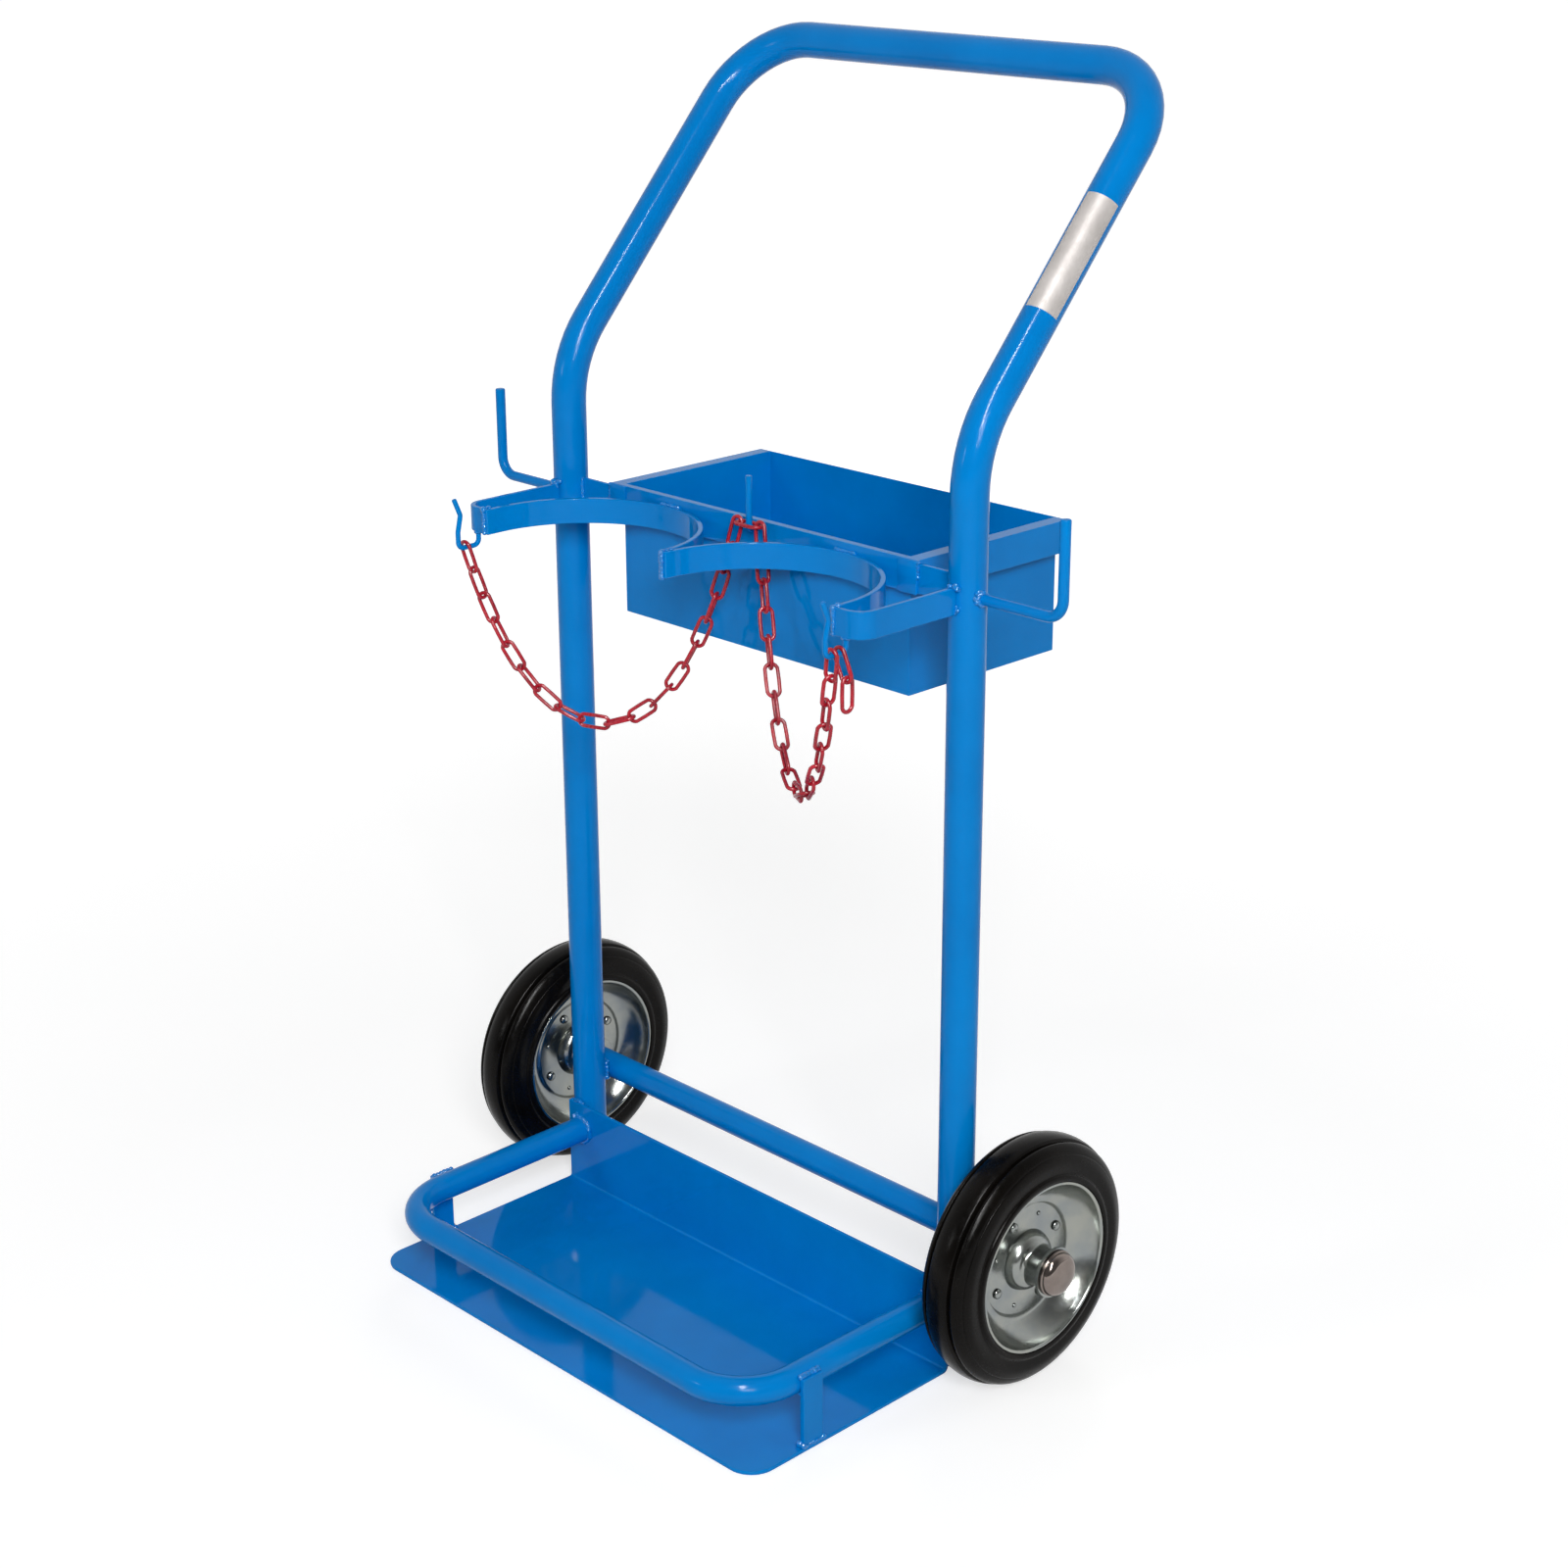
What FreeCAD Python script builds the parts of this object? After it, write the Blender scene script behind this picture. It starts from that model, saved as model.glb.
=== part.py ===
import FreeCAD, Part
import math
import os
import Sketcher

# Gas cylinder trolley for two cylinders.
# Millimetres; front is -Y, +X is to the right seen from the front, +Z is up, floor at Z = 0.

doc = FreeCAD.newDocument("gas_cylinder_trolley")
Vec = FreeCAD.Vector

# Driving dimensions
SIZES = [
    ("weld_gap", 0.2, "room left for a weld between two welded pieces"),
    ("seat_gap", 0.3, "room between pieces that lie on or beside each other"),
    ("run_gap", 0.05, "radial room of the hub on the axle"),
    ("tube_dia", 28.0, "frame tube, outside"),
    ("tube_wall", 2.5, "frame tube, wall"),
    ("tube_open", 560.0, "open length of each tube end"),
    ("upright_half", 215.0, "middle plane to the axis of an upright"),
    ("upright_y", 4.15, "plane of the uprights in the frame"),
    ("upright_foot", 3.0, "height of the open tube ends"),
    ("knee_height", 727.6, "height where upright and handle axes cross"),
    ("knee_bend", 97.0, "bend radius at the knee"),
    ("handle_tilt", 41.6, "handle, degrees away from upright"),
    ("handle_length", 314.3, "knee to the axis of the top bar"),
    ("handle_bend", 64.0, "bend radius at the top corners"),
    ("plate_sheet", 3.0, "foot plate, sheet"),
    ("plate_over", -5.5, "foot plate, past the outsides of the uprights"),
    ("plate_front", 225.5, "uprights to the front edge of the plate"),
    ("plate_corner", 22.0, "front corners of the plate"),
    ("plate_bend", 5.0, "outer bend radius of the plate"),
    ("upstand_top", 77.0, "height of the upstand behind the plate"),
    ("rail_dia", 22.0, "guard rail, outside"),
    ("post_edge", 1.0, "posts, in from the side edges of the plate"),
    ("rail_in", 5.5, "rail axis, behind the front edge of the plate"),
    ("rail_height", 54.0, "height of the rail axis"),
    ("rail_bend", 50.0, "bend radius of the rail"),
    ("post_wide", 20.0, "rail post, flat bar width"),
    ("post_thick", 4.0, "rail post, flat bar thickness"),
    ("post_set", 65.0, "middle of a post, behind the front edge of the plate"),
    ("post_top", 60.0, "height of a post"),
    ("axle_dia", 22.0, "axle between the wheels"),
    ("axle_end_dia", 20.0, "axle ends under the hubs"),
    ("wheel_clear", 9.5, "upright to the inner side of a tyre"),
    ("hub_half", 29.0, "hub, half length"),
    ("hub_dia", 31.0, "hub, outside"),
    ("washer_thick", 2.5, "axle washer, thickness"),
    ("washer_dia", 40.0, "axle washer, outside"),
    ("tyre_wide", 47.0, "tyre, width"),
    ("tyre_dia", 200.0, "tyre, outside"),
    ("wall_radius", 89.0, "top of the flat side wall"),
    ("tread_in", 8.0, "tread edge, set in from the side wall"),
    ("ring_half", 2.1, "flat rings of the wheel centre, half thickness"),
    ("ring_radius", 56.0, "flat rings of the wheel centre"),
    ("rim_radius", 68.5, "edge of the wheel centre"),
    ("cap_dia", 36.5, "axle cap, outside"),
    ("cap_rim", 3.5, "axle cap, straight rim"),
    ("cap_nose", 14.0, "axle cap, flat nose"),
    ("cap_deep", 6.2, "axle cap, depth inside"),
    ("cap_tall", 9.9, "axle cap, height over all"),
    ("axle_in_cap", 5.9, "length of axle held by a cap"),
    ("tray_sheet", 1.5, "tool tray, sheet"),
    ("tray_half", 160.0, "tool tray, half width over the rim"),
    ("tray_deep", 165.6, "tool tray, rim front to rear wall"),
    ("tray_tall", 105.0, "tool tray, height"),
    ("tray_top", 634.6, "height of the tray rim"),
    ("rim_out", 4.5, "rim fold outside the front and side walls"),
    ("rim_drop", 25.0, "height of the folded rim"),
    ("tab_thick", 3.0, "tray tab, thickness"),
    ("tab_set", 0.5, "tray tab, behind the rim front"),
    ("tab_below", 2.2, "tray tab, below the rim"),
    ("tab_tall", 22.0, "tray tab, height"),
    ("band_thick", 4.0, "cradle band, thickness"),
    ("band_below", 6.6, "cradle band, below the tray rim"),
    ("band_tall", 20.0, "cradle band, height"),
    ("arm_reach", 24.6, "axis of an upright to the side of the arc tip"),
    ("band_leg", 14.3, "cradle arc, straight leg at the outer end"),
    ("arm_bend", 16.0, "cradle arm, outer bend radius"),
    ("hose_rod", 8.0, "hose hook, rod"),
    ("hose_height", 619.0, "height of the hose hook"),
    ("hose_out", 73.0, "upright to the raised end of a hose hook"),
    ("hose_rise", 71.0, "height of the raised end of a hose hook"),
    ("hose_bend", 14.0, "bend radius of a hose hook"),
    ("hook_rod", 4.0, "side chain hook, rod"),
    ("hook_in", 10.1, "side chain hook, out from the arc"),
    ("hook_drop", 10.0, "band to the lower run of a side hook"),
    ("hook_front", 20.0, "length of the lower run of a side hook"),
    ("hook_bend", 5.0, "bend radius of a side hook"),
    ("hook_neck", 13.0, "lower run to the first kink"),
    ("hook_kink", 26.0, "lower run to the second kink"),
    ("hook_tip", 39.5, "lower run to the tip"),
    ("hook_sway", 3.0, "kink set back"),
    ("hook_flare", 5.5, "tip set forward of the kink"),
    ("pin_rod", 5.0, "middle chain hook, rod"),
    ("pin_out", 7.0, "tray rim to the middle hook"),
    ("pin_below", 7.1, "lower run of the middle hook, below the tray rim"),
    ("pin_rise", 42.1, "height of the middle hook"),
    ("link_wire", 3.0, "chain link, wire"),
    ("link_wide", 13.0, "chain link, outside width"),
    ("link_inner", 21.9, "inner length of a chain link"),
    ("span_links", 19.0, "links in each hanging span"),
    ("span_seat", 13.5, "hook root to the seat of the span"),
    ("link_play", 0.6, "room of a link in the one that carries it"),
    ("link_lean", 0.7, "side shift of a leaning end link on its seat"),
    ("twist_links", 3.0, "links that turn from a seat into the plane of the span"),
    ("tail_seat", 6.5, "hook root to the seat of the spare links"),
    ("tail_lean", 24.0, "outward lean of the upper spare link, degrees"),
]
sheet = doc.addObject("Spreadsheet::Sheet", "Dims")
for row, (name, value, meaning) in enumerate(SIZES, start=1):
    sheet.set("A%d" % row, name)
    sheet.set("B%d" % row, str(value))
    sheet.set("C%d" % row, meaning)
    sheet.setAlias("B%d" % row, name)
doc.recompute()


def size(name):
    return float(sheet.get(name))


# Places that several pieces share
PLATE_HALF = "(Dims.upright_half + Dims.tube_dia / 2 + Dims.plate_over)"
POST_X = "(" + PLATE_HALF + " - Dims.post_edge - Dims.post_thick)"
BAND_BOTTOM = "(Dims.tray_top - Dims.band_below - Dims.band_tall)"
WHEEL_X = "(Dims.upright_half + Dims.tube_dia / 2 + Dims.wheel_clear + Dims.tyre_wide / 2)"
AXLE_Z = "Dims.tyre_dia / 2"
BAND_RADIUS = "((Dims.upright_half - Dims.arm_reach) / 2 - Dims.weld_gap)"
plate_half = size("upright_half") + size("tube_dia") / 2 + size("plate_over")
band_radius = (size("upright_half") - size("arm_reach")) / 2 - size("weld_gap")
band_bottom = size("tray_top") - size("band_below") - size("band_tall")


def node(thing, label):
    thing.Label = label
    return thing


def place(thing, x=None, y=None, z=None):
    for axis, rule in (("x", x), ("y", y), ("z", z)):
        if rule:
            thing.setExpression("Placement.Base." + axis, rule)


def plane_of(body, role):
    return [item for item in body.Origin.OriginFeatures if item.Role == role][0]


START = 50.0
NEAR = 0.01
ROD_SIDES = 8
LINK_SIDES = 6
ARC_STEPS = 4


def outlines(body, name, plane, loops):
    # Closed outlines of straight lines whose corners follow the sheet.
    sketch = body.newObject("Sketcher::SketchObject", name)
    sketch.AttachmentSupport = [(plane_of(body, plane), "")]
    sketch.MapMode = "FlatFace"
    for corners in loops:
        count = len(corners)
        first = sketch.GeometryCount
        turn = 2 * math.pi / count
        ring = [Vec(math.cos(turn * i), math.sin(turn * i), 0) * START for i in range(count)]
        for i in range(count):
            sketch.addGeometry(Part.LineSegment(ring[i], ring[(i + 1) % count]), False)
        for i in range(count):
            follows = first + (i + 1) % count
            sketch.addConstraint(Sketcher.Constraint("Coincident", first + i, 2, follows, 1))
        for i, (across, along) in enumerate(corners):
            for kind, rule, axis in (("DistanceX", across, -2), ("DistanceY", along, -1)):
                if rule == "0":
                    sketch.addConstraint(Sketcher.Constraint("PointOnObject", first + i, 1, axis))
                    continue
                rank = sketch.addConstraint(Sketcher.Constraint(kind, -1, 1, first + i, 1, START))
                sketch.setExpression("Constraints[%d]" % rank, rule)
    doc.recompute()
    return sketch


def box_loop(left, right, low, high):
    return [(left, low), (right, low), (right, high), (left, high)]


def pad(body, sketch, length, up=None, midplane=False):
    feature = body.newObject("PartDesign::Pad", sketch.Name + "_pad")
    feature.Profile = sketch
    feature.setExpression("Length", length)
    feature.Midplane = midplane
    if up:
        sketch.setExpression("AttachmentOffset.Base.z", up)
    sketch.Visibility = False
    doc.recompute()
    return feature


def turned(body, sketch, axis="H_Axis", angle=360.0, back=False):
    feature = body.newObject("PartDesign::Revolution", sketch.Name + "_turned")
    feature.Profile = sketch
    feature.ReferenceAxis = (sketch, [axis])
    feature.Angle = angle
    feature.Reversed = back
    sketch.Visibility = False
    doc.recompute()
    return feature


def rounded(body, base, radius, keep):
    edges = ["Edge%d" % (i + 1) for i, edge in enumerate(base.Shape.Edges) if keep(edge)]
    feature = body.newObject("PartDesign::Fillet", base.Name + "_round")
    feature.Base = (base, edges)
    feature.setExpression("Radius", radius)
    doc.recompute()
    return feature


def stands(edge):
    start, end = edge.Vertexes[0].Point, edge.Vertexes[-1].Point
    return abs(start.x - end.x) < NEAR and abs(start.y - end.y) < NEAR


def mirrored(thing, label):
    twin = doc.addObject("Part::Mirroring", label)
    twin.Source = thing
    twin.Normal = Vec(1, 0, 0)
    twin.Base = Vec(0, 0, 0)
    return node(twin, label)


def rounded_path(points, radii):
    # Straight runs joined by tangent arcs; one radius for each inner corner.
    edges = []
    here = points[0]
    for i, radius in enumerate(radii, start=1):
        corner = points[i]
        back = (points[i - 1] - corner).normalize()
        ahead = (points[i + 1] - corner).normalize()
        half = math.acos(max(-1.0, min(1.0, back.dot(ahead)))) / 2
        reach = radius / math.tan(half)
        middle = corner + (back + ahead).normalize() * (radius / math.sin(half) - radius)
        start = corner + back * reach
        end = corner + ahead * reach
        edges.append(Part.makeLine(here, start))
        edges.append(Part.Arc(start, middle, end).toShape())
        here = end
    edges.append(Part.makeLine(here, points[-1]))
    return Part.Wire(edges)


def swept(name, points, radii, radius_rule):
    path = doc.addObject("Part::Feature", name + "_path")
    path.Shape = rounded_path(points, radii)
    section = doc.addObject("Part::Circle", name + "_section")
    section.setExpression("Radius", radius_rule)
    section.Placement = FreeCAD.Placement(
        points[0], FreeCAD.Rotation(Vec(0, 0, 1), points[1] - points[0]))
    rod = doc.addObject("Part::Sweep", name)
    rod.Sections = [section]
    rod.Spine = (path, ["Edge%d" % (i + 1) for i in range(len(path.Shape.Edges))])
    rod.Solid = True
    rod.Frenet = False
    doc.recompute()
    return rod


def stepped(points, radii, steps):
    # The same path with each arc taken in equal steps, for thin rods with few faces.
    path = [points[0]]
    for edge in rounded_path(points, radii).Edges:
        count = steps if edge.Curve.TypeId == "Part::GeomCircle" else 1
        ends = (edge.FirstParameter, edge.LastParameter)
        along = [edge.valueAt(ends[0] + (ends[1] - ends[0]) * i / count) for i in range(count + 1)]
        if (along[0] - path[-1]).Length > (along[-1] - path[-1]).Length:
            along.reverse()
        path += along[1:]
    return path


def wire_solid(path, normal, dia, sides, closed=False):
    # Rod of many flat sides, mitred at every corner of a flat path.
    count = len(path)
    rings = []
    for i, corner in enumerate(path):
        back = corner - path[i - 1] if closed or i > 0 else path[1] - corner
        ahead = path[(i + 1) % count] - corner if closed or i < count - 1 else back
        back = Vec(back).normalize()
        ahead = Vec(ahead).normalize()
        side = normal.cross(back + ahead).normalize()
        stretch = 1 / math.sqrt((1 + back.dot(ahead)) / 2)
        radius = dia / 2 / math.cos(math.pi / sides)
        ring = []
        for step in range(sides):
            angle = (2 * step + 1) * math.pi / sides
            ring.append(corner + side * (radius * math.cos(angle) * stretch)
                        + normal * (radius * math.sin(angle)))
        rings.append(ring)
    faces = []
    for i in range(count if closed else count - 1):
        here, there = rings[i], rings[(i + 1) % count]
        for step in range(sides):
            side = (step + 1) % sides
            corners = [here[step], here[side], there[side], there[step], here[step]]
            faces.append(Part.Face(Part.makePolygon(corners)))
    if not closed:
        for ring in (rings[0], rings[-1]):
            faces.append(Part.Face(Part.makePolygon(ring + ring[:1])))
    solid = Part.makeSolid(Part.makeShell(faces))
    if solid.Volume < 0:
        solid.reverse()
    return solid


def bent_rod(name, points, radii, normal, dia):
    rod = doc.addObject("Part::Feature", name)
    rod.Shape = wire_solid(stepped(points, radii, ARC_STEPS), normal, dia, ROD_SIDES)
    return rod


# Main frame: one bent tube with open ends
up_y = size("upright_y")
half = size("upright_half")
tilt = math.radians(size("handle_tilt"))
foot = size("upright_foot")
knee = size("knee_height")
top_y = up_y + size("handle_length") * math.sin(tilt)
top_z = knee + size("handle_length") * math.cos(tilt)
frame_points = [
    Vec(-half, up_y, foot), Vec(-half, up_y, knee), Vec(-half, top_y, top_z),
    Vec(half, top_y, top_z), Vec(half, up_y, knee), Vec(half, up_y, foot),
]
frame_radii = [size(n) for n in ("knee_bend", "handle_bend", "handle_bend", "knee_bend")]
tube_solid = swept("tube_outside", frame_points, frame_radii, "Dims.tube_dia / 2")
tube_bore = doc.addObject("Part::Cylinder", "tube_bore")
tube_bore.setExpression("Radius", "Dims.tube_dia / 2 - Dims.tube_wall")
tube_bore.setExpression("Height", "Dims.tube_open")
place(tube_bore, x="Dims.upright_half", y="Dims.upright_y", z="Dims.upright_foot")
tube_bores = doc.addObject("Part::Compound", "tube_bores")
tube_bores.Links = [tube_bore, mirrored(tube_bore, "tube_bore_left")]
main_tube = node(doc.addObject("Part::Cut", "main_tube"), "main_tube")
main_tube.Base = tube_solid
main_tube.Tool = tube_bores

# Foot plate: folded sheet with a low upstand welded to the uprights
foot_plate = node(doc.addObject("PartDesign::Body", "foot_plate"), "foot_plate")
plate_rear = "-Dims.tube_dia / 2 - Dims.weld_gap"
plate_face = plate_rear + " - Dims.plate_sheet"
plate_side = outlines(foot_plate, "plate_side", "YZ_Plane", [[
    ("-Dims.plate_front", "0"), (plate_rear, "0"), (plate_rear, "Dims.upstand_top"),
    (plate_face, "Dims.upstand_top"), (plate_face, "Dims.plate_sheet"),
    ("-Dims.plate_front", "Dims.plate_sheet")]])
plate_pad = pad(foot_plate, plate_side, "2 * " + PLATE_HALF, midplane=True)
plate_round = rounded(
    foot_plate, plate_pad, "Dims.plate_corner",
    lambda edge: stands(edge) and edge.CenterOfMass.y < -size("plate_front") / 2)
plate_fold = rounded(
    foot_plate, plate_round, "Dims.plate_bend",
    lambda edge: edge.Length > plate_half and edge.CenterOfMass.z < NEAR
    and edge.CenterOfMass.y > -size("plate_front") / 2)
rounded(
    foot_plate, plate_fold, "Dims.plate_bend - Dims.plate_sheet",
    lambda edge: edge.Length > plate_half
    and abs(edge.CenterOfMass.z - size("plate_sheet")) < NEAR
    and edge.CenterOfMass.y > -size("plate_front") / 2)
place(foot_plate, y="Dims.upright_y")

# Guard rail around the foot plate
rail_y = up_y - size("tube_dia") / 2 - size("plate_sheet") - 2 * size("weld_gap")
rail_x = (plate_half - size("post_edge") - size("post_thick") - size("weld_gap")
          - size("rail_dia") / 2)
rail_front = up_y - size("plate_front") + size("rail_in")
rail_z = size("rail_height")
rail_points = [
    Vec(-rail_x, rail_y, rail_z), Vec(-rail_x, rail_front, rail_z),
    Vec(rail_x, rail_front, rail_z), Vec(rail_x, rail_y, rail_z)]
guard_rail = node(
    swept("guard_rail", rail_points, [size("rail_bend")] * 2, "Dims.rail_dia / 2"), "guard_rail")

# Rail posts: flat bars outside the rail, standing on the plate
right_rail_post = node(doc.addObject("PartDesign::Body", "right_rail_post"), "right_rail_post")
post_foot = "Dims.plate_sheet + Dims.weld_gap"
post_side = outlines(right_rail_post, "post_side", "YZ_Plane", [
    box_loop("-Dims.post_wide / 2", "Dims.post_wide / 2", post_foot, "Dims.post_top")])
pad(right_rail_post, post_side, "Dims.post_thick")
place(right_rail_post, x=POST_X, y="Dims.upright_y - Dims.plate_front + Dims.post_set")
left_rail_post = mirrored(right_rail_post, "left_rail_post")

# Axle welded behind the uprights, with turned-down ends
AXLE_Y = "Dims.upright_y + Dims.tube_dia / 2 + Dims.axle_dia / 2 + Dims.weld_gap"
HUB_IN = WHEEL_X + " - Dims.hub_half"
SHOULDER = HUB_IN + " - Dims.seat_gap"
HUB_OUT = WHEEL_X + " + Dims.hub_half"
CAP_FROM = HUB_OUT + " + 2 * Dims.seat_gap + Dims.washer_thick"
AXLE_TIP = CAP_FROM + " + Dims.axle_in_cap"
axle = node(doc.addObject("PartDesign::Body", "axle"), "axle")
axle_side = outlines(axle, "axle_side", "XY_Plane", [[
    ("-(" + AXLE_TIP + ")", "0"), (AXLE_TIP, "0"), (AXLE_TIP, "Dims.axle_end_dia / 2"),
    (SHOULDER, "Dims.axle_end_dia / 2"), (SHOULDER, "Dims.axle_dia / 2"),
    ("-(" + SHOULDER + ")", "Dims.axle_dia / 2"),
    ("-(" + SHOULDER + ")", "Dims.axle_end_dia / 2"),
    ("-(" + AXLE_TIP + ")", "Dims.axle_end_dia / 2")]])
turned(axle, axle_side)
place(axle, y=AXLE_Y, z=AXLE_Z)

# Axle washers between the hubs and the caps
washer = doc.addObject("PartDesign::Body", "axle_washer")
WASHER_BORE = "Dims.axle_end_dia / 2 + Dims.seat_gap"
washer_side = outlines(washer, "washer_side", "XY_Plane", [
    box_loop("0", "Dims.washer_thick", WASHER_BORE, "Dims.washer_dia / 2")])
turned(washer, washer_side)
place(washer, x=HUB_OUT + " + Dims.seat_gap", y=AXLE_Y, z=AXLE_Z)
axle_washers = node(doc.addObject("Part::Compound", "axle_washers"), "axle_washers")
axle_washers.Links = [washer, mirrored(washer, "axle_washer_left")]

# Push-on caps over the axle ends
cap = doc.addObject("PartDesign::Body", "axle_cap")
CAP_BORE = "Dims.axle_end_dia / 2 + Dims.weld_gap"
cap_side = outlines(cap, "cap_side", "XY_Plane", [[
    ("0", CAP_BORE), ("0", "Dims.cap_dia / 2"), ("Dims.cap_rim", "Dims.cap_dia / 2"),
    ("Dims.cap_tall", "Dims.cap_nose / 2"), ("Dims.cap_tall", "0"),
    ("Dims.cap_deep", "0"), ("Dims.cap_deep", CAP_BORE)]])
turned(cap, cap_side)
place(cap, x=CAP_FROM, y=AXLE_Y, z=AXLE_Z)
axle_caps = node(doc.addObject("Part::Compound", "axle_caps"), "axle_caps")
axle_caps.Links = [cap, mirrored(cap, "axle_cap_left")]

# Wheels: hub, dished steel centre, solid rubber tyre
SIDE = "Dims.tyre_wide / 2"
TYRE_SEAT = "Dims.rim_radius + Dims.seat_gap"
CENTRE_BORE = "Dims.hub_dia / 2 + Dims.weld_gap"
tyre_half = [
    (SIDE, TYRE_SEAT),
    (SIDE, "Dims.wall_radius"),
    (SIDE + " - Dims.tread_in", "Dims.tyre_dia / 2"),
]
centre_half = [
    ("Dims.ring_half", CENTRE_BORE),
    ("Dims.ring_half", "Dims.ring_radius"),
    (SIDE, "Dims.rim_radius"),
]
hub_half = [
    ("Dims.hub_half", "Dims.axle_end_dia / 2 + Dims.run_gap"),
    ("Dims.hub_half", "Dims.hub_dia / 2"),
]
for name, right_side in (("tyre", tyre_half), ("wheel_centre", centre_half), ("hub", hub_half)):
    left_side = [("-(" + x + ")", r) for x, r in reversed(right_side)]
    right = node(doc.addObject("PartDesign::Body", "right_" + name), "right_" + name)
    turned(right, outlines(right, name + "_section", "XY_Plane", [right_side + left_side]))
    place(right, x=WHEEL_X, y=AXLE_Y, z=AXLE_Z)
    mirrored(right, "left_" + name)

# Tool tray: folded box, its rim turned out and down in front and at the sides
tool_tray = node(doc.addObject("PartDesign::Body", "tool_tray"), "tool_tray")
RIM_UP = "Dims.tray_tall - Dims.tray_sheet"
wall_loop = box_loop("-Dims.tray_half + Dims.rim_out", "Dims.tray_half - Dims.rim_out",
                     "Dims.rim_out", "Dims.tray_deep")
inner_loop = box_loop("-Dims.tray_half + Dims.rim_out + Dims.tray_sheet",
                      "Dims.tray_half - Dims.rim_out - Dims.tray_sheet",
                      "Dims.rim_out + Dims.tray_sheet", "Dims.tray_deep - Dims.tray_sheet")
rim_loop = box_loop("-Dims.tray_half", "Dims.tray_half", "0", "Dims.tray_deep")
drop_loop = [
    ("-Dims.tray_half", "0"), ("Dims.tray_half", "0"), ("Dims.tray_half", "Dims.tray_deep"),
    ("Dims.tray_half - Dims.tray_sheet", "Dims.tray_deep"),
    ("Dims.tray_half - Dims.tray_sheet", "Dims.tray_sheet"),
    ("-Dims.tray_half + Dims.tray_sheet", "Dims.tray_sheet"),
    ("-Dims.tray_half + Dims.tray_sheet", "Dims.tray_deep"), ("-Dims.tray_half", "Dims.tray_deep")]
floor_sketch = outlines(tool_tray, "tray_floor", "XY_Plane", [wall_loop])
pad(tool_tray, floor_sketch, "Dims.tray_sheet")
walls_sketch = outlines(tool_tray, "tray_walls", "XY_Plane", [wall_loop, inner_loop])
pad(tool_tray, walls_sketch, "Dims.tray_tall")
fold_sketch = outlines(tool_tray, "rim_fold", "XY_Plane", [rim_loop, inner_loop])
pad(tool_tray, fold_sketch, "Dims.tray_sheet", up=RIM_UP)
drop_sketch = outlines(tool_tray, "rim_drop_strip", "XY_Plane", [drop_loop])
pad(tool_tray, drop_sketch, "Dims.rim_drop", up="Dims.tray_tall - Dims.rim_drop")

place(tool_tray, y="Dims.upright_y", z="Dims.tray_top - Dims.tray_tall")

# Tabs that carry the tray between the uprights
right_tray_tab = node(doc.addObject("PartDesign::Body", "right_tray_tab"), "right_tray_tab")
tab_plan = outlines(right_tray_tab, "tab_plan", "XY_Plane", [
    box_loop("Dims.tray_half + Dims.weld_gap",
             "Dims.upright_half - Dims.tube_dia / 2 - Dims.weld_gap",
             "Dims.tab_set", "Dims.tab_set + Dims.tab_thick")])
pad(right_tray_tab, tab_plan, "Dims.tab_tall")
place(right_tray_tab, y="Dims.upright_y",
      z="Dims.tray_top - Dims.tab_below - Dims.tab_tall")
left_tray_tab = mirrored(right_tray_tab, "left_tray_tab")

# Cradle arcs: half rings of flat bar, each with a straight leg at its outer end
ARC_X = BAND_RADIUS + " + Dims.weld_gap"
BAND_INNER = "(" + BAND_RADIUS + " - Dims.band_thick)"
right_cradle_arc = node(doc.addObject("PartDesign::Body", "right_cradle_arc"), "right_cradle_arc")
arc_section = outlines(right_cradle_arc, "arc_section", "XZ_Plane", [
    box_loop(BAND_INNER, BAND_RADIUS, BAND_BOTTOM, BAND_BOTTOM + " + Dims.band_tall")])
turned(right_cradle_arc, arc_section, axis="V_Axis", angle=180.0)
arc_leg = outlines(right_cradle_arc, "arc_leg", "XY_Plane", [
    box_loop(BAND_INNER, BAND_RADIUS, "-Dims.band_leg", "0")])
pad(right_cradle_arc, arc_leg, "Dims.band_tall", up=BAND_BOTTOM)
place(right_cradle_arc, x=ARC_X, y="Dims.upright_y - " + BAND_RADIUS + " - Dims.weld_gap")
left_cradle_arc = mirrored(right_cradle_arc, "left_cradle_arc")

# Cradle arms: bent flat bars from the uprights to the arc tips
ARM_FRONT = "-(" + BAND_RADIUS + " + Dims.weld_gap + Dims.band_leg)"
ARM_REAR = "-(Dims.tube_dia / 2 + Dims.weld_gap)"
ARM_END = "(Dims.upright_half - Dims.arm_reach)"
ARM_OUT = "Dims.upright_half + Dims.band_thick / 2"
ARM_IN = "Dims.upright_half - Dims.band_thick / 2"
right_cradle_arm = node(doc.addObject("PartDesign::Body", "right_cradle_arm"), "right_cradle_arm")
arm_plan = outlines(right_cradle_arm, "arm_plan", "XY_Plane", [[
    (ARM_OUT, ARM_REAR), (ARM_OUT, ARM_FRONT), (ARM_END, ARM_FRONT),
    (ARM_END, ARM_FRONT + " + Dims.band_thick"), (ARM_IN, ARM_FRONT + " + Dims.band_thick"),
    (ARM_IN, ARM_REAR)]])
arm_pad = pad(right_cradle_arm, arm_plan, "Dims.band_tall", up=BAND_BOTTOM)
arm_mid = size("upright_half")
arm_front = -(band_radius + size("weld_gap") + size("band_leg"))
arm_outer = rounded(
    right_cradle_arm, arm_pad, "Dims.arm_bend",
    lambda edge: stands(edge) and edge.CenterOfMass.x > arm_mid
    and edge.CenterOfMass.y < arm_front + 1)
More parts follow.
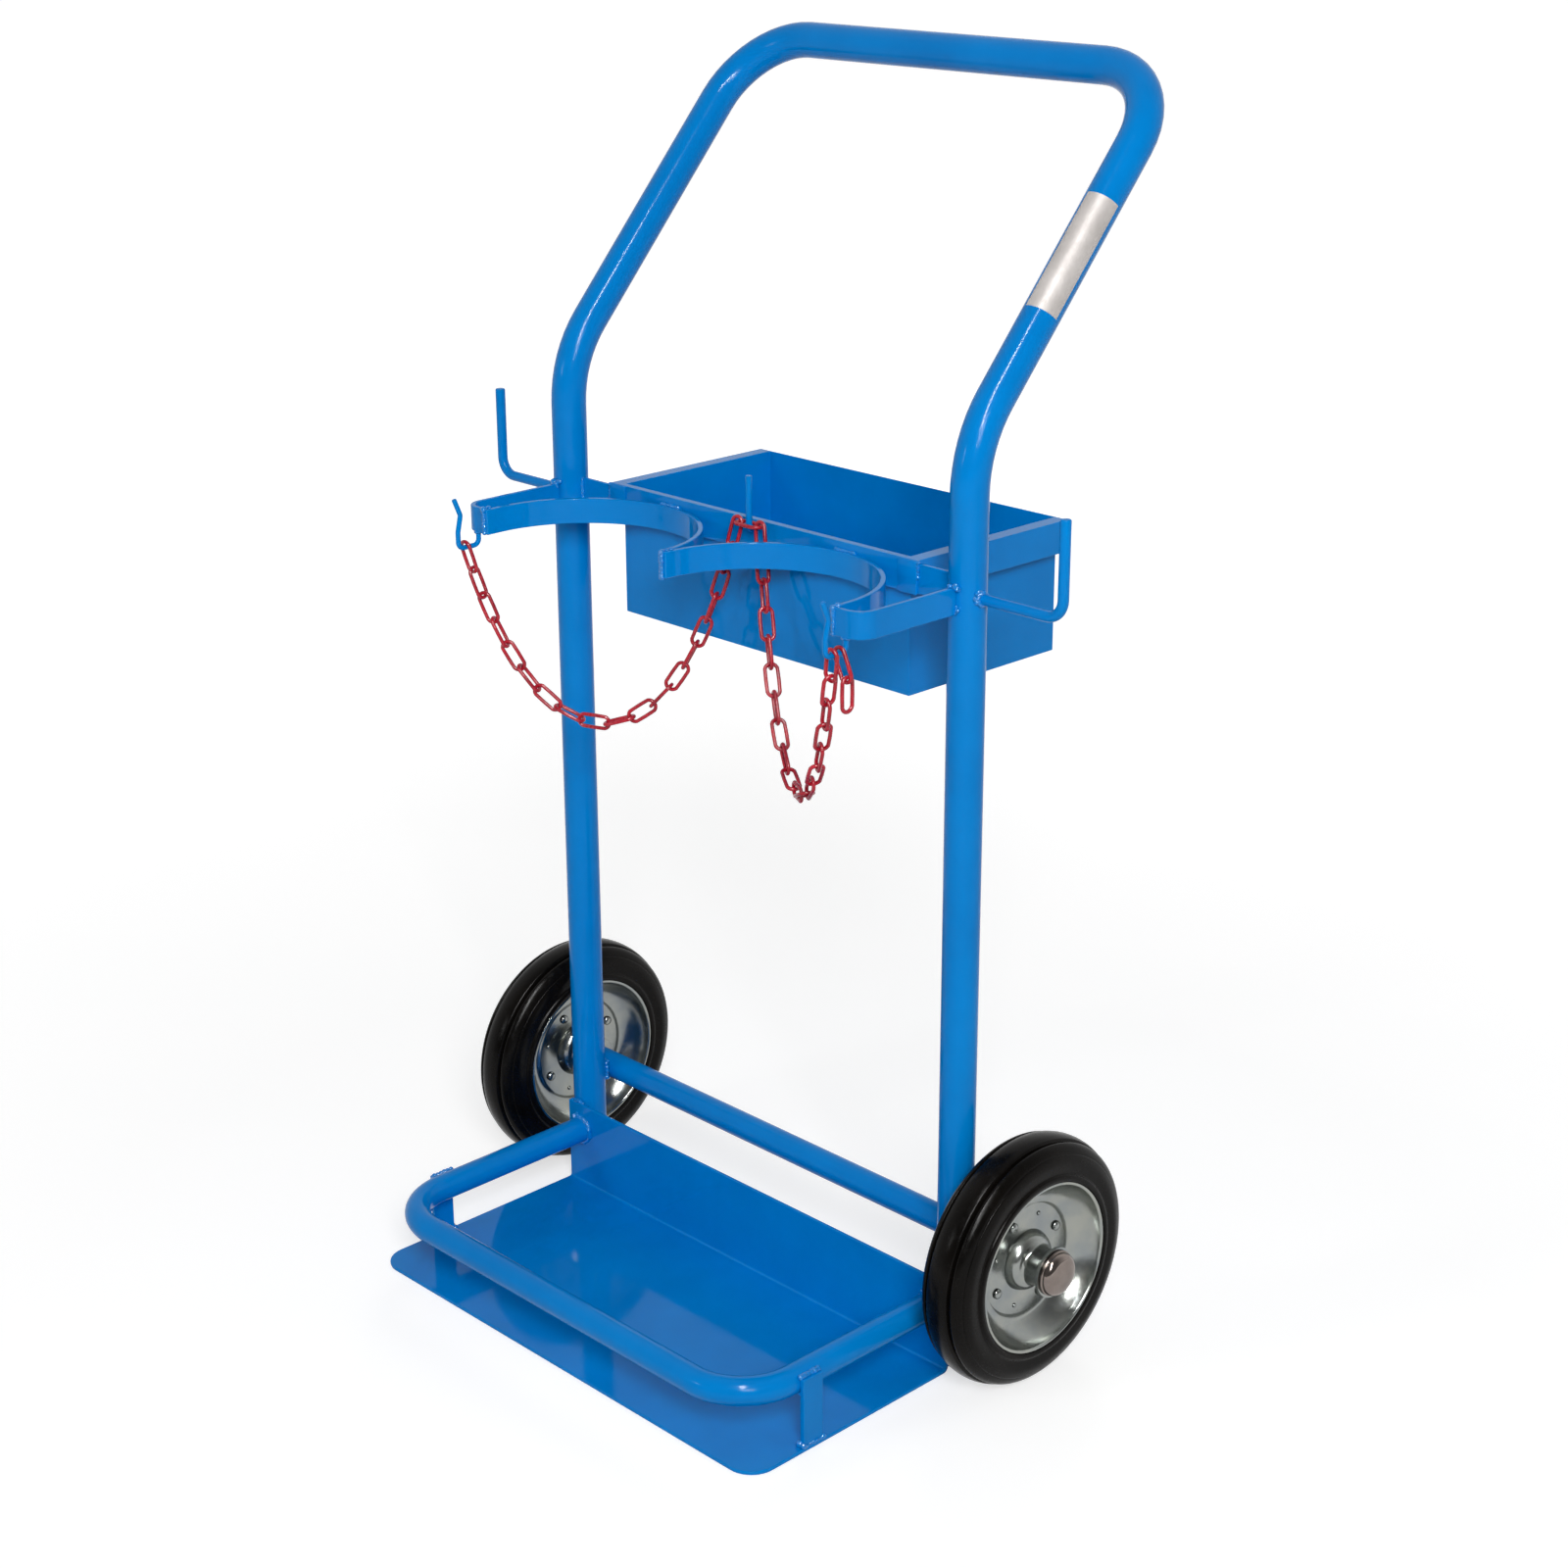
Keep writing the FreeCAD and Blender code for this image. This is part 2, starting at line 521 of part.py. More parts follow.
rounded(
    right_cradle_arm, arm_outer, "Dims.arm_bend - Dims.band_thick",
    lambda edge: stands(edge) and abs(edge.CenterOfMass.x - arm_mid + size("band_thick") / 2) < NEAR
    and edge.CenterOfMass.y < arm_front + size("band_thick") + 1)
place(right_cradle_arm, y="Dims.upright_y")
left_cradle_arm = mirrored(right_cradle_arm, "left_cradle_arm")

# Hose hooks: bent rods on the outer sides of the uprights
hose_z = size("hose_height")
hose_x = half + size("tube_dia") / 2 + size("hose_out")
hose_points = [
    Vec(half + size("tube_dia") / 2 + size("weld_gap"), up_y, hose_z),
    Vec(hose_x, up_y, hose_z), Vec(hose_x, up_y, hose_z + size("hose_rise"))]
hose_rod = bent_rod("hose_hook", hose_points, [size("hose_bend")], Vec(0, 1, 0), size("hose_rod"))
hose_hooks = node(doc.addObject("Part::Compound", "hose_hooks"), "hose_hooks")
hose_hooks.Links = [hose_rod, mirrored(hose_rod, "hose_hook_left")]

# Side chain hooks: rods welded under the arm tips and bent up in front
hook_x = half - size("arm_reach") + size("hook_in")
hook_root = up_y + arm_front + size("band_thick") / 2
hook_z = band_bottom - size("hook_drop")
hook_y = hook_root - size("hook_front")
hook_points = [
    Vec(hook_x, hook_root, band_bottom - size("weld_gap")),
    Vec(hook_x, hook_root, hook_z), Vec(hook_x, hook_y, hook_z),
    Vec(hook_x, hook_y, hook_z + size("hook_neck")),
    Vec(hook_x, hook_y + size("hook_sway"), hook_z + size("hook_kink")),
    Vec(hook_x, hook_y + size("hook_sway") - size("hook_flare"), hook_z + size("hook_tip"))]
hook_bends = [size("hook_bend")] * 4
hook_rod = bent_rod("chain_hook", hook_points, hook_bends, Vec(1, 0, 0), size("hook_rod"))
chain_hooks = node(doc.addObject("Part::Compound", "chain_hooks"), "chain_hooks")
chain_hooks.Links = [hook_rod, mirrored(hook_rod, "chain_hook_left")]

# Middle chain hook on the tray rim
pin_y = up_y - size("pin_out")
pin_z = size("tray_top") - size("pin_below")
pin_points = [
    Vec(0, up_y - size("weld_gap"), pin_z),
    Vec(0, pin_y, pin_z), Vec(0, pin_y, pin_z + size("pin_rise"))]
middle_hook = node(
    bent_rod("middle_hook", pin_points, [size("pin_rod")], Vec(1, 0, 0), size("pin_rod")),
    "middle_hook")


# Chain link: wire closed into a long ring, each end bent in three steps
def link_solid():
    wire = size("link_wire")
    bend = (size("link_wide") - wire) / 2
    reach = (size("link_inner") + wire) / 2 - bend * math.cos(math.pi / 6)
    path = []
    for side in (1, -1):
        for step in (90, 30, -30, -90):
            angle = math.radians(step)
            path.append(Vec(side * (reach + bend * math.cos(angle)), side * bend * math.sin(angle), 0))
    return wire_solid(path, Vec(0, 0, 1), wire, LINK_SIDES, closed=True)


def link_at(solid, start, end, facing):
    along = (end - start).normalize()
    facing = (facing - along * facing.dot(along)).normalize()
    turn = FreeCAD.Rotation(along, facing.cross(along), facing, "XZY")
    copy = solid.copy()
    copy.Placement = FreeCAD.Placement((start + end) * 0.5, turn)
    return copy


HALVINGS = 60
FLATTEST_STEP = 0.001
STEEPEST_STEP = 50.0


def hanging_joints(start, end, count, pitch):
    # Even links hang so that the slope grows by the same step from link to link.
    plan = Vec(end.x - start.x, end.y - start.y, 0)
    rise = end.z - start.z

    def run(step, low):
        slopes = [math.atan(step * (i - low)) for i in range(count)]
        return (pitch * sum(math.cos(a) for a in slopes),
                pitch * sum(math.sin(a) for a in slopes), slopes)

    def lowest(step):
        near, far = -float(count), 2.0 * count
        for turn in range(HALVINGS):
            low = (near + far) / 2
            if run(step, low)[1] > rise:
                near = low
            else:
                far = low
        return low

    slack, tight = FLATTEST_STEP, STEEPEST_STEP
    for turn in range(HALVINGS):
        step = math.sqrt(slack * tight)
        if run(step, lowest(step))[0] > plan.Length:
            slack = step
        else:
            tight = step
    ahead = Vec(plan).normalize()
    joints = [start]
    for slope in run(step, lowest(step))[2]:
        joints.append(joints[-1] + ahead * (pitch * math.cos(slope)) + Vec(0, 0, pitch * math.sin(slope)))
    return joints


link = link_solid()
wire = size("link_wire")
play = size("link_play")
pitch = size("link_inner") - play
count = int(size("span_links"))
link_z = pin_z + size("pin_rod") / 2 + play + wire / 2
link_end = (size("link_inner") + wire) / 2
seat_z = hook_z + size("hook_rod") / 2 + play
span_start = Vec(hook_x + size("link_lean"), hook_root - size("span_seat"), seat_z)
span_end = Vec(link_end - size("link_lean"), pin_y, link_z + wire / 2 + play)
joints = hanging_joints(span_start, span_end, count, pitch)
span_run = Vec(span_end.x - span_start.x, span_end.y - span_start.y, 0).normalize()
span_normal = Vec(-span_run.y, span_run.x, 0)
seat_normal = Vec(0, -1, 0)


def span_facing(i):
    # End links hang square to their seats, the next ones turn into the plane of the span.
    share = max(0.0, 1 - min(i, count - 1 - i) / size("twist_links"))
    normal = span_normal * (1 - share) + seat_normal * share
    if i % 2 == 0:
        return normal
    return normal.cross(joints[i + 1] - joints[i])


right_chain_span = node(doc.addObject("Part::Feature", "right_chain_span"), "right_chain_span")
right_chain_span.Shape = Part.makeCompound(
    [link_at(link, joints[i], joints[i + 1], span_facing(i)) for i in range(count)])
left_chain_span = mirrored(right_chain_span, "left_chain_span")

middle_link = node(doc.addObject("Part::Feature", "middle_link"), "middle_link")
middle_link.Shape = link
middle_link.Placement = FreeCAD.Placement(Vec(0, pin_y, link_z), FreeCAD.Rotation())

chain_tail = node(doc.addObject("Part::Feature", "chain_tail"), "chain_tail")
tail_lean = math.radians(size("tail_lean"))
tail_top = Vec(hook_x - size("link_lean"), hook_root - size("tail_seat"), seat_z)
tail_middle = tail_top + Vec(math.sin(tail_lean), 0, -math.cos(tail_lean)) * pitch
tail_low = tail_middle + Vec(0, 0, -pitch)
chain_tail.Shape = Part.makeCompound([
    link_at(link, tail_top, tail_middle, seat_normal), link_at(link, tail_middle, tail_low, Vec(1, 0, 0))])

doc.recompute()

# Every named piece is checked and written
NODES = [
    "main_tube", "foot_plate", "guard_rail", "left_rail_post", "right_rail_post",
    "axle", "axle_washers", "axle_caps",
    "left_tyre", "left_wheel_centre", "left_hub",
    "right_tyre", "right_wheel_centre", "right_hub",
    "tool_tray", "left_tray_tab", "right_tray_tab",
    "left_cradle_arc", "right_cradle_arc", "left_cradle_arm", "right_cradle_arm",
    "hose_hooks", "chain_hooks", "middle_hook",
    "left_chain_span", "right_chain_span", "middle_link", "chain_tail",
]
for item in doc.Objects:
    if "Invalid" in item.State or "Error" in item.State:
        raise RuntimeError("not rebuilt: " + item.Name)
os.makedirs("parts", exist_ok=True)
for label in NODES:
    shape = doc.getObjectsByLabel(label)[0].Shape
    if shape.isNull() or not shape.isValid() or shape.Volume <= 0:
        raise RuntimeError("bad shape: " + label)
    shape.exportStep("parts/" + label + ".step")
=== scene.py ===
# %% [markdown]
# Gas cylinder trolley: a bent blue tube frame on two rubber-tyred wheels, with a tool tray, two cradles for
# cylinders and a red chain. The CAD solids come in as a fixed frame and give every place and size. This script
# adds the finishes, and remakes the pieces whose roundness or small detail the plain solids leave out. Lengths of
# pieces are written in millimetres. Blender counts in metres, so they are multiplied by MM on their way in.

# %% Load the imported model
import bpy
import bmesh
import math
import random
import numpy as np
from mathutils import Matrix, Vector


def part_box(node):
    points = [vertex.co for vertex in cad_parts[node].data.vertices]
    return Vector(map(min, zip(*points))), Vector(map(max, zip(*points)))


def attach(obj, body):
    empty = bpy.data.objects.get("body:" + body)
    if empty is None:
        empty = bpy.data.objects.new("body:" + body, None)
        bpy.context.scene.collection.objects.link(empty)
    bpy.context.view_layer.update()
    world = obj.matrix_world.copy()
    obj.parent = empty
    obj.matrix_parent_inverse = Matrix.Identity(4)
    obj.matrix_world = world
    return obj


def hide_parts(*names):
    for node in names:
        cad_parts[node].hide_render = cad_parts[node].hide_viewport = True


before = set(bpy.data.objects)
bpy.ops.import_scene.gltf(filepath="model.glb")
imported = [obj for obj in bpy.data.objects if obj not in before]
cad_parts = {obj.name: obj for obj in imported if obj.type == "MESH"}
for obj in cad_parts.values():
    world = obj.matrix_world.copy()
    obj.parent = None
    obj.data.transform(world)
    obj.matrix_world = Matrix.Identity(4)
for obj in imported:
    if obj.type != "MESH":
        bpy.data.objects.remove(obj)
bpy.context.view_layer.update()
MM = 0.001

# %% [markdown]
# The camera stands in front of the right-hand corner, a little above the handle. Its angle, height and lens were
# found by fitting straight tube lines of the photograph, so the render can be laid over it. A camera looks along
# its own -Z, so its turn is built from the right, up and backward directions, tipped by a very small roll.

# %% Camera
AIM = Vector((29.42, 4.15, 430.22)) * MM
CAMERA_DEGREES = (45.71, 20.0, -0.22)
CAMERA_AWAY = 2.12647
FOCAL_PIXELS, FRAME_PIXELS, SENSOR_WIDE = 2813.57, 1600, 36


def turned_to(x_way, y_way, z_way):
    return Matrix((x_way, y_way, z_way)).transposed().to_quaternion()


turn, rise, roll = (math.radians(angle) for angle in CAMERA_DEGREES)
back = Vector((math.sin(turn) * math.cos(rise), -math.cos(turn) * math.cos(rise), math.sin(rise)))
level = Vector((math.cos(turn), math.sin(turn), 0))
raised = back.cross(level)
right = level * math.cos(roll) + raised * math.sin(roll)
upward = raised * math.cos(roll) - level * math.sin(roll)
lens = bpy.data.cameras.new("photo_camera")
lens.sensor_fit = "HORIZONTAL"
lens.sensor_width = SENSOR_WIDE
lens.lens = FOCAL_PIXELS / FRAME_PIXELS * lens.sensor_width
camera = bpy.data.objects.new("photo_camera", lens)
bpy.context.scene.collection.objects.link(camera)
camera.matrix_world = Matrix.LocRotScale(AIM + back * CAMERA_AWAY, turned_to(right, upward, back), None)
bpy.context.scene.camera = camera
bpy.context.scene.view_settings.view_transform = "Standard"
print("camera at", [round(v, 3) for v in camera.location], "lens", round(lens.lens, 2))

# %% [markdown]
# Finishes are node materials. Each one reads Object coordinates, which are metres in the trolley's own frame,
# so a noise scale of 900 gives grains of about a millimetre on every piece. One helper adds a node and fills its
# sockets. The next makes a noise that drifts between two values: noise mostly stays near its middle, so only that
# stretch of it is used. The last builds a whole finish: two colours in patches, a gloss that drifts in finer
# patches, and a skin of small bumps whose depth is in millimetres.

# %% Helpers for finishes
NOISE_LOW, NOISE_HIGH, NOISE_ROUGH = 0.35, 0.65, 0.6
GLOSS_FINER = 7


def add(tree, kind, **values):
    made = tree.nodes.new("ShaderNode" + kind)
    for name, value in values.items():
        made.inputs[name.replace("_", " ")].default_value = value
    return made


def grain(tree, scale, low, high, detail=4.0):
    place = add(tree, "TexCoord")
    noise = add(tree, "TexNoise", Scale=scale, Detail=detail, Roughness=NOISE_ROUGH)
    spread = add(tree, "MapRange", From_Min=NOISE_LOW, From_Max=NOISE_HIGH, To_Min=low, To_Max=high)
    tree.links.new(place.outputs["Object"], noise.inputs["Vector"])
    tree.links.new(noise.outputs[0], spread.inputs["Value"])
    return spread.outputs[0]


def tint(tree, share, first, second):
    blend = add(tree, "Mix")
    blend.data_type = "RGBA"
    blend.inputs["A"].default_value = (*first, 1)
    blend.inputs["B"].default_value = (*second, 1)
    tree.links.new(share, blend.inputs["Factor"])
    return blend.outputs["Result"]


def finish(name, first, second, patches, rough, skin, skin_deep, **fixed):
    material = bpy.data.materials.new(name)
    material.use_nodes = True
    tree = material.node_tree
    shader = tree.nodes["Principled BSDF"]
    for socket, value in fixed.items():
        shader.inputs[socket.replace("_", " ")].default_value = value
    tree.links.new(tint(tree, grain(tree, patches, 0, 1), first, second), shader.inputs["Base Color"])
    tree.links.new(grain(tree, patches * GLOSS_FINER, *rough), shader.inputs["Roughness"])
    bump = add(tree, "Bump", Strength=1.0, Distance=skin_deep * MM)
    tree.links.new(grain(tree, skin, 0, 1, detail=2.0), bump.inputs["Height"])
    tree.links.new(bump.outputs[0], shader.inputs["Normal"])
    return material


# %% [markdown]
# The blue enamel is a glossy dipped coat: one clear colour that drifts a little where the coat is thicker, with a
# fine orange-peel skin. On flat sheet the coat levels out and mirrors more sharply than on tube and rod, so the
# same enamel is made twice with two ranges of gloss. Over a weld it lies on a lumpier skin. The chain has a thicker
# red coat.

# %% Painted finishes
ENAMEL = {"first": (0.0, 0.207, 0.61), "second": (0.0, 0.241, 0.69), "patches": 9, "skin": 420, "skin_deep": 0.0014,
          "Specular_IOR_Level": 0.08}
blue = finish("blue_enamel", rough=(0.11, 0.17), **ENAMEL)
sheet_blue = finish("sheet_enamel", rough=(0.045, 0.095), **ENAMEL)
weld_blue = finish("weld_enamel", (0.0, 0.20, 0.60), (0.0, 0.235, 0.68), patches=60, rough=(0.05, 0.12),
                   skin=420, skin_deep=0.10, Specular_IOR_Level=0.5)
red = finish("red_coat", (0.34, 0.005, 0.017), (0.56, 0.013, 0.032), patches=60, rough=(0.18, 0.34),
             skin=900, skin_deep=0.03, Specular_IOR_Level=0.4)
print("painted finishes:", [paint.name for paint in (blue, sheet_blue, weld_blue, red)])

# %% [markdown]
# Rubber is nearly black and dull, with a brown bloom. The wheel centres are zinc plated: silver with faint
# yellow-green clouds. The push-on caps are polished steel, and the foil on the handle is a dull bare metal skin. A
# metal has no colour of its own beside its mirror, so its two colours are what it leaves of the light it mirrors.
# Each CAD node carries the name of its slot, and the finishes are given out by that name.

# %% Rubber, metals and the finish of each slot
rubber = finish("tyre_rubber", (0.0022, 0.0019, 0.0016), (0.0055, 0.0044, 0.0036), patches=22, rough=(0.16, 0.30),
                skin=1500, skin_deep=0.012, Specular_IOR_Level=0.08)
zinc = finish("zinc_plate", (0.245, 0.265, 0.27), (0.33, 0.34, 0.31), patches=30, rough=(0.18, 0.24),
              skin=90, skin_deep=0.002, Metallic=1.0)
cap_steel = finish("cap_steel", (0.18, 0.15, 0.135), (0.25, 0.21, 0.19), patches=40, rough=(0.08, 0.16),
                   skin=300, skin_deep=0.004, Metallic=1.0)
foil = finish("bare_foil", (0.50, 0.467, 0.447), (0.585, 0.55, 0.53), patches=40, rough=(0.42, 0.58),
              skin=260, skin_deep=0.015, Metallic=0.15, Specular_IOR_Level=0.25)
FINISH_OF_SLOT = {"blue_enamel": blue, "red_chain": red, "rubber": rubber, "zinc_steel": zinc,
                  "cap_steel": cap_steel}
slot_of = {name: node.material_slots[0].material.name.split(".")[0] for name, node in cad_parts.items()}
for name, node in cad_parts.items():
    node.material_slots[0].material = FINISH_OF_SLOT[slot_of[name]]
print("finishes on", len(slot_of), "CAD nodes")

# %% [markdown]
# A new piece starts from a primitive and is shaped in edit mode, as by hand. An operator acts on all that is
# selected, so everything is deselected before a primitive is added, and points are picked by their place. When
# the shape is closed, points that lie on each other are merged and all faces are turned outwards.

# %% Helpers for shaping
SAME_POINT = 0.002


def choose(piece):
    bpy.ops.object.select_all(action="DESELECT")
    piece.select_set(True)
    bpy.context.view_layer.objects.active = piece


def new_piece(add_primitive, name, **size):
    bpy.ops.object.select_all(action="DESELECT")
    add_primitive(**size)
    piece = bpy.context.object
    piece.name = name
    return piece


def start_edit(piece):
    choose(piece)
    bpy.ops.object.mode_set(mode="EDIT")
    bpy.ops.mesh.select_mode(type="VERT")


def pick(test):
    mesh = bmesh.from_edit_mesh(bpy.context.edit_object.data)
    for vert in mesh.verts:
        vert.select = bool(test(vert.co / MM))
    mesh.select_flush_mode()
    bmesh.update_edit_mesh(bpy.context.edit_object.data)


def end_edit():
    bpy.ops.object.mode_set(mode="OBJECT")


def close_up(piece):
    start_edit(piece)
    bpy.ops.mesh.select_all(action="SELECT")
    bpy.ops.mesh.remove_doubles(threshold=SAME_POINT * MM)
    bpy.ops.mesh.normals_make_consistent(inside=False)
    end_edit()


# %% [markdown]
# Every new piece goes through the same last step: its place goes into its mesh, it gets smooth shading with sharp
# folds kept, a finish, the body it moves with, and the CAD nodes that it stands for.

# %% Helper for the last step
def set_place():
    bpy.ops.object.transform_apply(location=True, rotation=True, scale=True)


def done(piece, slot, body, stands_for=(), fold=35, material=None):
    choose(piece)
    set_place()
    bpy.ops.object.shade_smooth_by_angle(angle=math.radians(fold))
    piece.data.materials.clear()
    piece.data.materials.append(material or FINISH_OF_SLOT[slot])
    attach(piece, body)
    if stands_for:
        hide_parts(*stands_for)
    print(piece.name, "faces:", len(piece.data.polygons))


# %% [markdown]
# Tyres, wheel centres, hubs and caps are turned shapes. By hand one would draw half of the section and spin it
# round the axle, and that is done here: a plane is merged to one point, the point is extruded from corner to
# corner, marked corners are bevelled round, and the outline is spun. Each corner of an outline has three numbers:
# how far it lies to the side, its radius, and how much it is rounded.

# %% Helpers for turned pieces
HAIR, CORNER_STEPS = 0.01, 4


def turned(name, outline, centre, steps=96):
    piece = new_piece(bpy.ops.mesh.primitive_plane_add, name, size=MM)
    start_edit(piece)
    bpy.ops.mesh.select_all(action="SELECT")
    bpy.ops.mesh.merge(type="CENTER")
    corners = [Vector((centre[0] + across, centre[1], centre[2] + radius)) for across, radius, _ in outline]
    bpy.ops.transform.translate(value=corners[0] * MM)
    for here, there in zip(corners, corners[1:]):
        bpy.ops.mesh.extrude_region_move(TRANSFORM_OT_translate={"value": (there - here) * MM})
    for corner, (_, _, soft) in zip(corners, outline):
        if soft:
            pick(lambda place: (place - corner).length < HAIR)
            bpy.ops.mesh.bevel(offset=soft * MM, segments=CORNER_STEPS, affect="VERTICES")
    bpy.ops.mesh.select_all(action="SELECT")
    bpy.ops.mesh.spin(steps=steps, angle=2 * math.pi, center=Vector(centre) * MM, axis=(1, 0, 0))
    end_edit()
    close_up(piece)
    return piece


def closed_section(half):
    other_half = [(-across, radius, soft) for across, radius, soft in reversed(half)]
    return half + other_half + [half[0]]


# %% [markdown]
# The two wheels are alike, so a piece is modelled once on the right wheel, and a copy with its own mesh is moved to
# the left one. The CAD tyres say where both wheels stand.

# %% Helpers for the wheels
tyre_low, tyre_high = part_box("right_tyre")
wheel_at = (tyre_low + tyre_high) / 2 / MM
left_low, left_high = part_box("left_tyre")
to_left_wheel = ((left_low + left_high) / 2 / MM).x - wheel_at.x


def copy_of(piece, name):
    choose(piece)
    bpy.ops.object.duplicate(linked=False)
    twin = bpy.context.object
    twin.name = name
    twin.data.name = name
    return twin


def moved(piece, x=0, y=0, z=0):
    piece.location = Vector((x, y, z)) * MM
    set_place()
    return piece


def on_both_wheels(piece, slot, node_ending=None):
    twin = moved(copy_of(piece, piece.name.replace("right", "left")), x=to_left_wheel)
    for side, one in (("right", piece), ("left", twin)):
        done(one, slot, side + "_wheel", [side + node_ending] if node_ending else ())


print("right wheel centre:", [round(v, 2) for v in wheel_at], "left wheel from it:", round(to_left_wheel, 2))

# %% [markdown]
# The tyre is solid rubber: a bead ring beside the rim, a shallow side wall with a raised shoulder line, and a tread
# with grooves that run all the way round. A torus would be quicker, but it has none of these lines, so the section
# is drawn: it starts at the rim, goes up one side, and is then mirrored.

# %% Tyres
TYRE_STEPS = 144
tyre_half = [
    (23.0, 68.9, 0), (23.5, 71.0, 0.6), (23.2, 73.6, 0.9), (21.4, 74.6, 0.7), (21.9, 79.5, 2.0), (22.0, 84.0, 2.0),
    (20.2, 89.6, 0.9), (19.6, 89.4, 0.3), (19.0, 91.2, 0.7), (17.0, 94.6, 1.6), (13.6, 96.9, 1.2), (12.4, 96.4, 0.4),
    (11.7, 93.8, 0.4), (10.6, 93.8, 0.4), (9.6, 98.2, 1.0), (4.5, 99.8, 2.0), (0.6, 100.0, 0)]
right_tyre = turned("right_tyre_rubber", closed_section(tyre_half), wheel_at, steps=TYRE_STEPS)
on_both_wheels(right_tyre, "rubber", "_tyre")

# %% [markdown]
# The wheel centre is two pressed dishes back to back: a flat ring, a rounded dish wall and a narrow lip under the
# tyre. Plated metal mirrors the room, so every curve of the pressing shows and has its own corners in the section.

# %% Wheel centres
dish_half = [
    (3.6, 15.8, 0), (3.6, 44.6, 1.0), (2.4, 46.4, 0.9), (2.3, 49.5, 1.5), (4.6, 54.5, 3.0), (11.0, 60.8, 4.5),
    (18.6, 65.0, 3.0), (22.2, 65.9, 0.9), (22.9, 66.8, 0.5), (22.6, 68.4, 0.3)]
right_dish = turned("right_wheel_dish", closed_section(dish_half), wheel_at)
on_both_wheels(right_dish, "zinc_steel", "_wheel_centre")

# %% [markdown]
# The hub is a pipe that turns on the axle. It flares out onto the flat ring, where a die pulled the sheet up round
# it, so it is turned as one section with a wide rounded foot instead of a plain cylinder.

# %% Hubs
hub_half = [
    (29.0, 10.1, 0), (29.0, 17.2, 0.8), (26.8, 17.2, 0.8), (25.6, 15.5, 0.6), (14.0, 15.5, 2.0), (11.6, 21.0, 2.6),
    (6.8, 23.6, 2.6), (3.7, 24.6, 0.6), (3.6, 15.7, 0)]
right_hub = turned("right_hub_pipe", closed_section(hub_half), wheel_at)
on_both_wheels(right_hub, "zinc_steel", "_hub")

# %% [markdown]
# Four domed rivets hold the two dishes together, and four small pressed nubs lie between them. A whole ball sunk
# into the sheet would look alike, but its hidden half would cut through the dish, so a head is a ball cut in half by
# bisect and flattened. One of each kind is modelled, and its copies are moved to their places round the axle, on
# both faces of the wheel.

# %% Rivets
RIVET_RING, HEAD_FOOT, HEADS_ROUND = 37.0, 3.55, 4


def dome(name, radius, tall):
    piece = new_piece(bpy.ops.mesh.primitive_uv_sphere_add, name, segments=20, ring_count=12, radius=radius * MM)
    start_edit(piece)
    bpy.ops.mesh.select_all(action="SELECT")
    bpy.ops.mesh.bisect(plane_co=(0, 0, 0), plane_no=(1, 0, 0), use_fill=True, clear_inner=True)
    bpy.ops.mesh.select_all(action="SELECT")
    bpy.ops.transform.resize(value=(tall / radius, 1, 1))
    end_edit()
    return piece


def joined(pieces, name):
    choose(pieces[0])
    for piece in pieces:
        piece.select_set(True)
    if len(pieces) > 1:
        bpy.ops.object.join()
    whole = bpy.context.object
    whole.name = name
    whole.data.name = name
    return whole


heads = []
for kind, radius, tall, first_angle in (("rivet", 4.0, 2.4, 64), ("nub", 1.8, 1.2, 20)):
    head = dome(kind, radius, tall)
    for side in (1, -1):
        for step in range(HEADS_ROUND):
            angle = math.radians(first_angle + 360 / HEADS_ROUND * step)
            one = copy_of(head, kind + "_copy")
            one.scale = (side, 1, 1)
            moved(one, wheel_at.x + side * HEAD_FOOT, wheel_at.y - RIVET_RING * math.cos(angle),
                  wheel_at.z + RIVET_RING * math.sin(angle))
            heads.append(one)
    bpy.data.objects.remove(head)
right_rivets = joined(heads, "right_wheel_rivets")
close_up(right_rivets)
on_both_wheels(right_rivets, "zinc_steel")

# %% [markdown]
# The caps are pressed steel cups pushed over the axle ends. Their faces are domed and polished, and a narrow rim
# stands against the washer. One cap is turned like the wheels, and the other is its mirror image. A mirrored mesh
# is inside out, so its faces are turned outwards again.

# %% Axle caps
CAP_TALL, CAP_STEPS = 9.9, 64


def mirrored(piece, name):
    twin = copy_of(piece, name)
    twin.scale = (-1, 1, 1)
    set_place()
    close_up(twin)
    return twin


caps_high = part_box("axle_caps")[1]
cap_from = (caps_high.x / MM - CAP_TALL, wheel_at.y, wheel_at.z)
cap_outline = [
    (0.0, 10.3, 0), (0.0, 18.2, 0.5), (1.6, 18.2, 0.4), (2.0, 17.4, 0.3), (4.4, 17.2, 1.6), (7.4, 15.2, 2.2),
    (9.2, 10.5, 3.0), (CAP_TALL, 3.0, 0), (CAP_TALL, 0.0, 0)]
right_cap = turned("right_cap", cap_outline, cap_from, steps=CAP_STEPS)
caps = joined([right_cap, mirrored(right_cap, "left_cap")], "polished_caps")
done(caps, "cap_steel", "frame", ["axle_caps"])

# %% [markdown]
# The hooks are bent rods. A curve with a round profile would be quicker to draw, but a bent rod is known by its
# straight runs and its bends. So a filled circle is extruded along each run and spun round each bend, which keeps
# the rod round, and its tip is bevelled. A move is either a length to go ahead, or a bend with its degrees, its
# radius and the axis it turns about. With no window the spin operator turns the other way, so its angle gets a
# minus sign.

# %% Helper for bent rods
ROD_SIDES, BEND_STEPS, TIP_STEPS, TIP_ROUND = 20, 10, 3, 0.14


